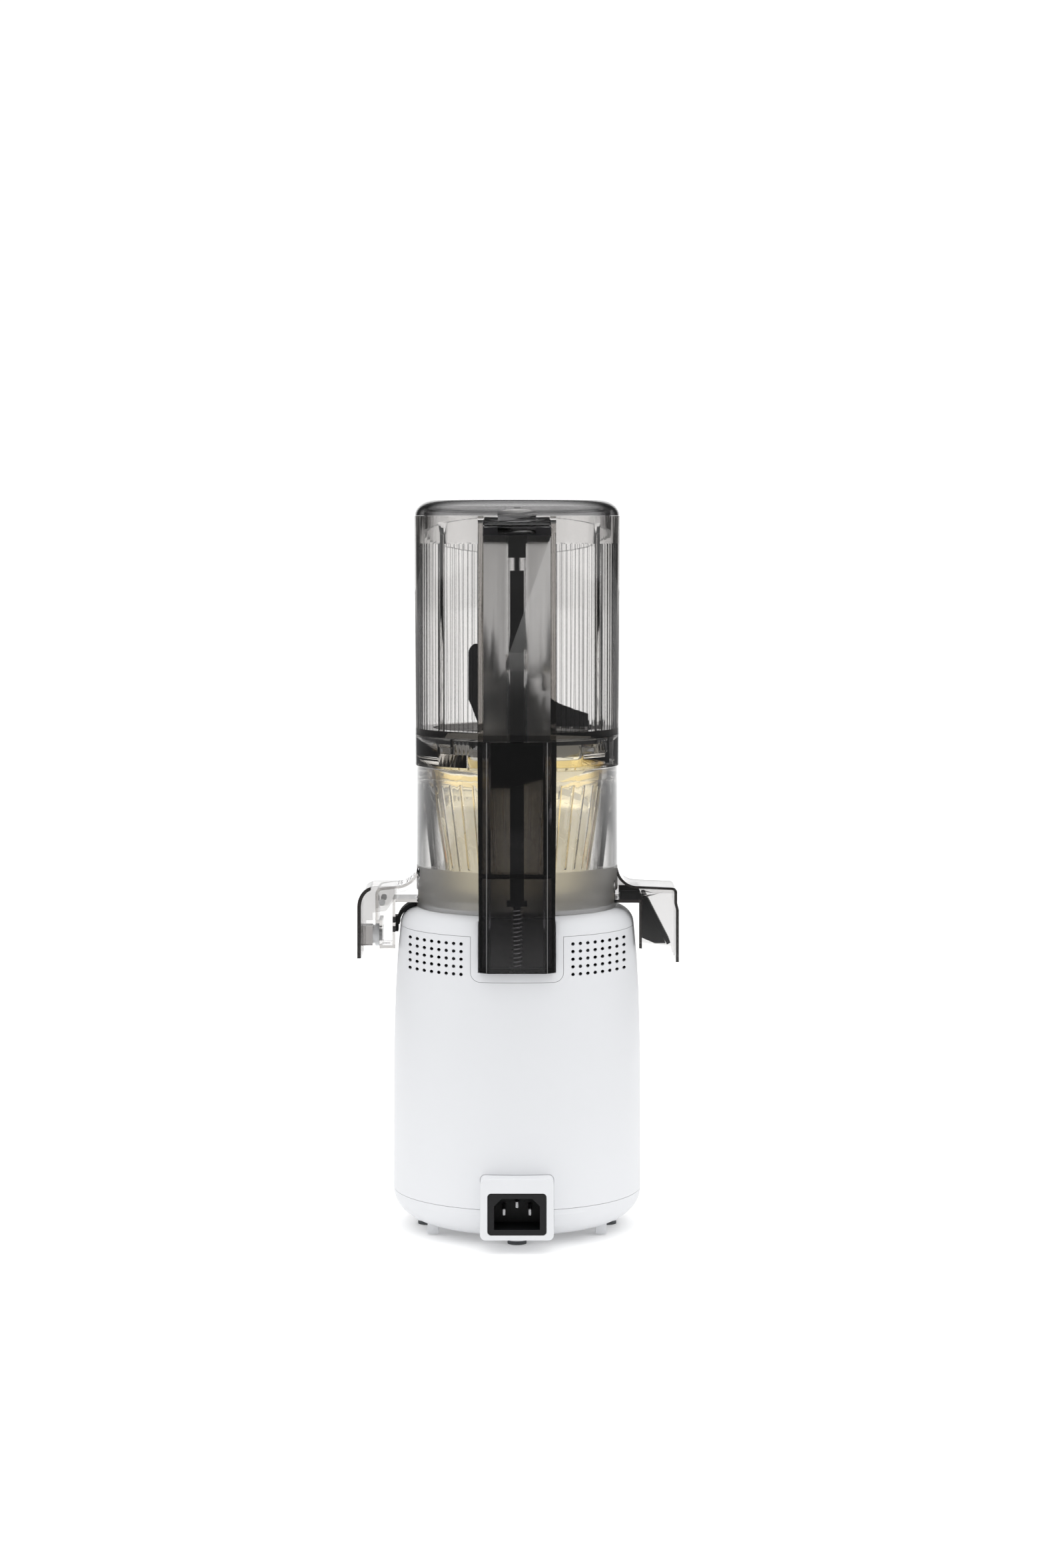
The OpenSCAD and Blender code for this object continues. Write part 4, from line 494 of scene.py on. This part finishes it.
def metal(name, colour, roughness, stretch):
    """A machined metal, with a grain that runs where the stretch is smallest."""
    material, tree = new_finish(name)
    lines = cloud(tree, place(tree, stretch), 1)
    darker = [c * LINE_TONE_SHARE for c in colour]
    surface(tree, {
        "Base Color": mixed(tree, lines, darker, colour),
        "Roughness": lines * LINE_DRIFT + roughness,
        "Metallic": 1.0,
        "Normal": relief(tree, lines, METAL_GRAIN),
    })
    return material


turned_steel = metal("turned_steel", (0.62, 0.61, 0.60), 0.20, (300, 300, 4000))
rolled_steel = metal("rolled_steel", (0.52, 0.52, 0.53), 0.32, (200, 200, 2600))
bright_steel = metal("bright_steel", (0.70, 0.70, 0.70), 0.12, (1500, 1500, 1500))
pin_steel = metal("pin_steel", (0.42, 0.42, 0.43), 0.28, (1500, 1500, 1500))
copper = metal("lacquered_copper", (0.72, 0.30, 0.13), 0.25, (900, 900, 900))
print("metals:", [m.name for m in (turned_steel, rolled_steel, bright_steel, pin_steel, copper)])

# %% [markdown]
# ## Finishes on the solids
# A solid whose shape is already right keeps its mesh and only takes a finish. The list goes by
# finish, so that a reader sees what each is used for.

# %% Give every solid its finish
FINISHES = {
    white_body: "base_shell shoulder_cover bottom_cover inlet_surround dial_ring control_dial"
                " gearbox_cover",
    white_clip: "cap_plug",
    cream: "auger switch_pin",
    gear_resin: "ring_gear planet_gear_1 planet_gear_2 planet_gear_3",
    black: "rotary_switch board_parts lid_switch dial_pointer cooling_fan feed_wing lower_rod"
           " upper_rod lid_plunger hinge_pin",
    socket_black: "inlet_socket",
    rubber: "shaft_seal bowl_seal pulp_packing pulp_gate hopper_gasket drain_plug",
    foot_rubber: "rubber_feet",
    hopper_smoke: "hopper",
    drum_smoke: "drum",
    lid_smoke: "lid",
    juice_smoke: "juice_spout",
    spout_smoke: "pulp_spout",
    cap_smoke: "juice_cap",
    grip_smoke: "grip",
    amber: "strainer",
    turned_steel: "motor_shaft sun_gear planet_carrier drive_shaft motor_bearings output_bearing",
    rolled_steel: "motor_can stator motor_lower_plate motor_upper_plate rotor_core",
    bright_steel: "bottom_screws gearbox_screws cap_pins rod_spring",
    pin_steel: "inlet_pins",
    copper: "motor_coils",
    board_green: "control_board",
}
SLOTS = {m["node"]: m["material_slot"] for m in frame["record"]["subparts"]}


def finish(piece, material):
    """Gives a piece its one material."""
    piece.data.materials.clear()
    piece.data.materials.append(material)


for material, names in FINISHES.items():
    for name in names.split():
        finish(cad[name], material)
bare = set(cad) - {name for names in FINISHES.values() for name in names.split()}
print("finished:", len(cad) - len(bare), "solids, without a finish:", sorted(bare))

# %% [markdown]
# ## Soft edges
# A solid's edges are knife sharp, and its curved faces are strips of triangles. Real mouldings have
# small round edges that catch the light, and true curves. Where that shows, a copy of the solid
# stands in for it: its loose triangles are merged, each real edge is bevelled, and the rest is
# shaded smooth. The copy keeps the solid's size, because a bevel only takes matter away. The
# inlet's pins have the wide chamfer of real ones. The clear pieces and the auger are only merged
# and smoothed: a bevel on them would bend light where the real edge is too fine to.

# %% A copy with soft edges
MERGE = 0.000002
FLAT = radians(0.5)
EDGE_ANGLE, CLEAR_EDGE_ANGLE = radians(32), radians(28)
SOFT_EDGE, PIN_CHAMFER = 0.0003, 0.0006
BEVEL_STEPS = 2


def smoothed(mesh, angle):
    """Shades a mesh smooth, apart from edges that turn by more than the angle."""
    mesh.polygons.foreach_set("use_smooth", [True] * len(mesh.polygons))
    mesh.set_sharp_from_angle(angle=angle)


def stands_for(piece, name):
    """Lets a piece stand for a solid: it goes on the solid's body, and the solid is hidden."""
    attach(piece, cad[name]["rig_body"])
    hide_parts(name)


def softened(name, width, angle=EDGE_ANGLE):
    """A copy of a solid with merged triangles and bevelled edges, which stands for the solid."""
    mesh = cad[name].data.copy()
    piece = linked(name + "_skin", mesh)
    shape = bmesh.new()
    shape.from_mesh(mesh)
    bmesh.ops.remove_doubles(shape, verts=shape.verts, dist=MERGE)
    bmesh.ops.dissolve_limit(shape, angle_limit=FLAT, verts=shape.verts, edges=shape.edges)
    shape.to_mesh(mesh)
    shape.free()
    smoothed(mesh, angle)
    if width:
        bevel = piece.modifiers.new("soft_edges", "BEVEL")
        bevel.width = width
        bevel.segments = BEVEL_STEPS
        bevel.limit_method = "ANGLE"
        bevel.angle_limit = angle
        bevel.harden_normals = False
    stands_for(piece, name)
    return piece


# %% Soften, chamfer and merge
for name in (
    "base_shell", "shoulder_cover", "bottom_cover", "inlet_surround", "control_dial", "dial_ring",
):
    piece = softened(name, SOFT_EDGE)
    print("softened", name, len(piece.data.polygons), "faces")

piece = softened("inlet_pins", PIN_CHAMFER)
print("chamfered inlet_pins", len(piece.data.polygons), "faces")

for name in (
    "hopper", "drum", "grip", "juice_spout", "pulp_spout", "juice_cap", "strainer", "auger",
):
    piece = softened(name, 0, CLEAR_EDGE_ANGLE)
    print("merged", name, len(piece.data.polygons), "faces")

# %% [markdown]
# ## A finer lid
# Light runs almost level through the lid's dome, so every facet of the solid would show as a
# streak. The dome and its skirt are turned afresh with finer steps, each as a closed shell of its
# own, in the solid's sizes. Blender's Screw modifier could turn them too, but the skirt's lower
# edge slants, so the points are worked out here.

# %% A turned shell
TURN_STEPS = 256


def turned(name, outline, material, slant=None):
    """A closed shell from an outline of (radius, height), turned round the drive axis for the lid.

    slant(y) is added to the heights of the outline's first two points."""
    points, faces = [], []
    for step in range(TURN_STEPS):
        a = 2 * pi * step / TURN_STEPS
        for k, (r, z) in enumerate(outline):
            lift = slant(r * sin(a)) if slant and k < 2 else 0
            points.append((r * cos(a), r * sin(a), z + lift))
    n = len(outline)
    for step in range(TURN_STEPS):
        here, there = step * n, (step + 1) % TURN_STEPS * n
        for k in range(n):
            faces.append((here + k, there + k, there + (k + 1) % n, here + (k + 1) % n))
    mesh = bpy.data.meshes.new(name)
    mesh.from_pydata(points, [], faces)
    shape = bmesh.new()
    shape.from_mesh(mesh)
    bmesh.ops.remove_doubles(shape, verts=shape.verts, dist=MERGE)
    bmesh.ops.recalc_face_normals(shape, faces=shape.faces)
    shape.to_mesh(mesh)
    shape.free()
    smoothed(mesh, CLEAR_EDGE_ANGLE)
    piece = linked(name, mesh)
    finish(piece, material)
    stands_for(piece, "lid")
    print(name + ":", len(mesh.polygons), "faces")


# %% [markdown]
# ### Dome
# The dome is flat on top with a rounded edge, and its wall is nearly the same all over. Its rim
# comes down a little further than the solid's, to close the hair of daylight between the lid and
# the hopper.

# %% Dome
LID_H, LID_EDGE, LID_T, LID_LIP = 0.0084, 0.012, 0.0022, 0.0003
ARC_STEPS = 28

lid_low, lid_high = box("lid")
lid_r, lid_z = -lid_low.y, lid_high.z - LID_H
ceiling = lid_high.z - LID_T


def dome_arc(wall):
    """The dome's rounded edge, set in by a wall, from its rim up to its flat top."""
    turns = [pi / 2 * k / ARC_STEPS for k in range(ARC_STEPS + 1)]
    centre, across, rise = lid_r - LID_EDGE, LID_EDGE - wall, LID_H - wall
    rim = (lid_r - wall, lid_z - LID_LIP)
    return [rim] + [(centre + across * cos(a), lid_z + rise * sin(a)) for a in turns]


turned("lid_dome", dome_arc(0) + [(0, lid_high.z), (0, ceiling)] + dome_arc(LID_T)[::-1], lid_smoke)

# %% [markdown]
# ### Skirt and knob
# The skirt hangs inside the hopper. It is deep at the front and runs out to almost nothing under
# the hinge. A small black knob hangs from the middle of the dome's ceiling.

# %% Skirt and knob
SKIRT_GAP, SKIRT_T, SKIRT_LEAST = 0.0047, 0.002, 0.0004
SKIRT_RISE, SKIRT_RISE_INSIDE = 0.00405, 0.00515
KNOB_R, KNOB_H = 0.0019, 0.0045

skirt_r = lid_r - SKIRT_GAP
skirt_in = skirt_r - SKIRT_T
skirt_slant = lid_z - lid_low.z - SKIRT_LEAST
turned(
    "lid_skirt",
    [
        (skirt_in, lid_low.z), (skirt_r, lid_low.z),
        (skirt_r, lid_z + SKIRT_RISE), (skirt_in, lid_z + SKIRT_RISE_INSIDE),
    ],
    skirt_smoke,
    lambda y: (y + skirt_r) / (2 * skirt_r) * skirt_slant,
)
knob_low = ceiling - KNOB_H
turned("lid_knob", [(0, knob_low), (KNOB_R, knob_low), (KNOB_R, ceiling), (0, ceiling)], black)

# %% [markdown]
# ### Hinge arms
# The arms come from the solid. A plane in the thickness of the dome's wall cuts the rest of the lid
# away, and the cut is closed, so that the arms are closed shells too.

# %% Hinge arms
ARM_INTO_WALL = 0.0011
arms = linked("lid_arms", cad["lid"].data.copy())
shape = bmesh.new()
shape.from_mesh(arms.data)
bmesh.ops.remove_doubles(shape, verts=shape.verts, dist=MERGE)
bmesh.ops.bisect_plane(
    shape, geom=shape.verts[:] + shape.edges[:] + shape.faces[:],
    plane_co=(0, lid_r - ARM_INTO_WALL, 0), plane_no=(0, -1, 0), clear_outer=True,
)
bmesh.ops.holes_fill(shape, edges=shape.edges)
bmesh.ops.recalc_face_normals(shape, faces=shape.faces)
shape.to_mesh(arms.data)
shape.free()
smoothed(arms.data, CLEAR_EDGE_ANGLE)
stands_for(arms, "lid")
print("lid_arms:", len(arms.data.polygons), "faces")

# %% [markdown]
# ## A shade baffle behind the hinge
# No daylight shows under the hinge. A thin grey plate on the hopper's wall stands in for the shade
# there and closes the view, clear of the plunger and of the lid's cam. Wider arms would close it
# too, but they are the solid's.

# %% Shade baffle
BAFFLE_SIDE = 0.0185
BAFFLE_IN, BAFFLE_UNDER = (0.0139, 0.0130), (0.0150, 0.0056)

low, high = [
    Vector((side * BAFFLE_SIDE, hopper_high.y - inwards, hopper_high.z - under))
    for side, inwards, under in zip((-1, 1), BAFFLE_IN, BAFFLE_UNDER)
]
shape = bmesh.new()
middle = Matrix.Translation((low + high) / 2)
bmesh.ops.create_cube(shape, size=1, matrix=middle @ Matrix.Diagonal((*(high - low), 1)))
# A grey plate that stands in for the shade under the hinge.
baffle = linked("hinge_shade_baffle", bpy.data.meshes.new("hinge_shade_baffle"))
shape.to_mesh(baffle.data)
shape.free()
finish(baffle, shade_baffle_grey)
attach(baffle, "hopper")
print("baffle:", [round(v, 4) for v in baffle.dimensions])

# %% [markdown]
# ## What repeats round the dial
# The dial's rim has grip ribs, and its ring has plain tick marks over the dial's travel. Both are
# blocks on an arc in the plane of the dial, so one node tree makes both. Its sizes are named
# inputs. An Array modifier round an empty would do for the ribs, but the ticks stop at the dial's
# limits. Each result is turned into a plain mesh, and the modifier goes.

# %% A tree that sets blocks on an arc
def arc_tree():
    """A Geometry Nodes tree: blocks on an arc about Y, between two angles from up towards +X."""
    tree = bpy.data.node_groups.new("blocks_on_arc", "GeometryNodeTree")
    kinds = {
        "Count": "Int", "Radius": "Float", "First": "Float", "Last": "Float", "Along": "Float",
        "Size": "Vector", "Finish": "Material",
    }
    for name, kind in kinds.items():
        tree.interface.new_socket(name, in_out="INPUT", socket_type="NodeSocket" + kind)
    tree.interface.new_socket("Mesh", in_out="OUTPUT", socket_type="NodeSocketGeometry")
    start = Shade(tree)
    inputs = {name: start.node("NodeGroupInput", out=name) for name in kinds}
    share = start.node("GeometryNodeInputIndex") / (inputs["Count"] - 1).larger(1)
    angle = inputs["First"] + (inputs["Last"] - inputs["First"]) * share
    spot = start.node("ShaderNodeCombineXYZ", sockets={
        "X": start.maths("SINE", angle) * inputs["Radius"],
        "Y": inputs["Along"],
        "Z": start.maths("COSINE", angle) * inputs["Radius"],
    })
    points = start.node("GeometryNodePoints", sockets={"Count": inputs["Count"], "Position": spot})
    block = start.node("GeometryNodeMeshCube", sockets={"Size": inputs["Size"]})
    blocks = start.node("GeometryNodeInstanceOnPoints", sockets={
        "Points": points, "Instance": block,
        "Rotation": start.node("ShaderNodeCombineXYZ", sockets={"Y": angle}),
    })
    real = start.node("GeometryNodeRealizeInstances", sockets={"Geometry": blocks})
    made = start.node(
        "GeometryNodeSetMaterial", sockets={"Geometry": real, "Material": inputs["Finish"]},
    )
    start.node("NodeGroupOutput", sockets={"Mesh": made})
    return tree


# %% A plain mesh from the tree
BLOCK_FACES = 6
dial_low, dial_high = box("control_dial")
dial_centre = Vector((0, 0, (dial_low.z + dial_high.z) / 2))


def on_arc(name, body, slot, tree, **values):
    """A plain mesh made by the tree, with its inputs set, centred on the dial."""
    maker = linked(name + "_maker", bpy.data.meshes.new(name + "_maker"))
    modifier = maker.modifiers.new("blocks", "NODES")
    modifier.node_group = tree
    for socket in tree.interface.items_tree:
        if socket.name in values:
            modifier[socket.identifier] = values[socket.name]
    graph = bpy.context.evaluated_depsgraph_get()
    mesh = bpy.data.meshes.new_from_object(maker.evaluated_get(graph))
    mesh.transform(Matrix.Translation(dial_centre))
    bpy.data.objects.remove(maker)
    piece = linked(name, mesh)
    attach(piece, body)
    print(name + ":", len(mesh.polygons) // BLOCK_FACES, "blocks")


# %% Ribs and ticks
RIBS, RIB_SIZE, RIB_FROM_FACE = 40, (0.0009, 0.0060, 0.0006), 0.0047
TICKS, TICK_SIZE, TICK_OUT = 9, (0.0006, 0.0002, 0.0020), 0.0034
TRAVEL = radians(40)

blocks_on_arc = arc_tree()
on_arc(
    "dial_ribs", "dial", SLOTS["control_dial"], blocks_on_arc, Finish=white_body,
    Count=RIBS, Size=RIB_SIZE, First=0.0, Last=2 * pi * (RIBS - 1) / RIBS,
    Radius=dial_high.x, Along=dial_low.y + RIB_FROM_FACE,
)
on_arc(
    "dial_ticks", "base", SLOTS["dial_pointer"], blocks_on_arc, Finish=black,
    Count=TICKS, Size=TICK_SIZE, First=-TRAVEL, Last=TRAVEL,
    Radius=dial_high.x + TICK_OUT, Along=box("dial_ring")[0].y,
)

# %% [markdown]
# ## Floor
# A plain pale floor. Under this much light it goes as white as the card behind, and only the soft
# shadow under the juicer shows. Its pale part widens away from the camera. Beside that and towards
# the camera it dims, so that the flat face of the grip mirrors no bright floor and the rims of the
# clear pieces, which bend light far to the side, keep their dark outlines. Dark cards in the sky
# can't do this, because the bent light meets the floor first.

# %% Floor
FLOOR_REACH = 14.0
DIM_FROM, DIM_TO = 0.68, 1.6
SIDE_FROM, SIDE_TO, SIDE_SPREAD = 0.14, 0.55, 0.17
PALE, DIM = (0.93, 0.93, 0.93), (0.11, 0.11, 0.113)
PAPER_CELLS, PAPER_DRIFT, PAPER_ROUGHNESS = 30, 0.1, 0.8
PAPER_LIGHT = 0.15

corners = [(x * FLOOR_REACH, y * FLOOR_REACH, 0) for x, y in ((-1, -1), (1, -1), (1, 1), (-1, 1))]
floor = linked("floor", bpy.data.meshes.new("floor"))
floor.data.from_pydata(corners, [], [(0, 1, 2, 3)])
paper, tree = new_finish("pale_paper")
where = place(tree)
x, y = where.axes()[:2]
beside = x.size() - (EYE.y - y) * SIDE_SPREAD
away = y.step(DIM_FROM, DIM_TO).larger(beside.step(SIDE_FROM, SIDE_TO))
surface(tree, {
    "Base Color": mixed(tree, away, PALE, DIM),
    "Roughness": cloud(tree, where, PAPER_CELLS) * PAPER_DRIFT + PAPER_ROUGHNESS,
    "Emission Color": mixed(tree, away, CLEAR, UNLIT),
    "Emission Strength": PAPER_LIGHT,
})
finish(floor, paper)
print("floor:", 2 * FLOOR_REACH, "m wide")
print("dim from", DIM_FROM, "m in front and from", SIDE_FROM, "m beside")
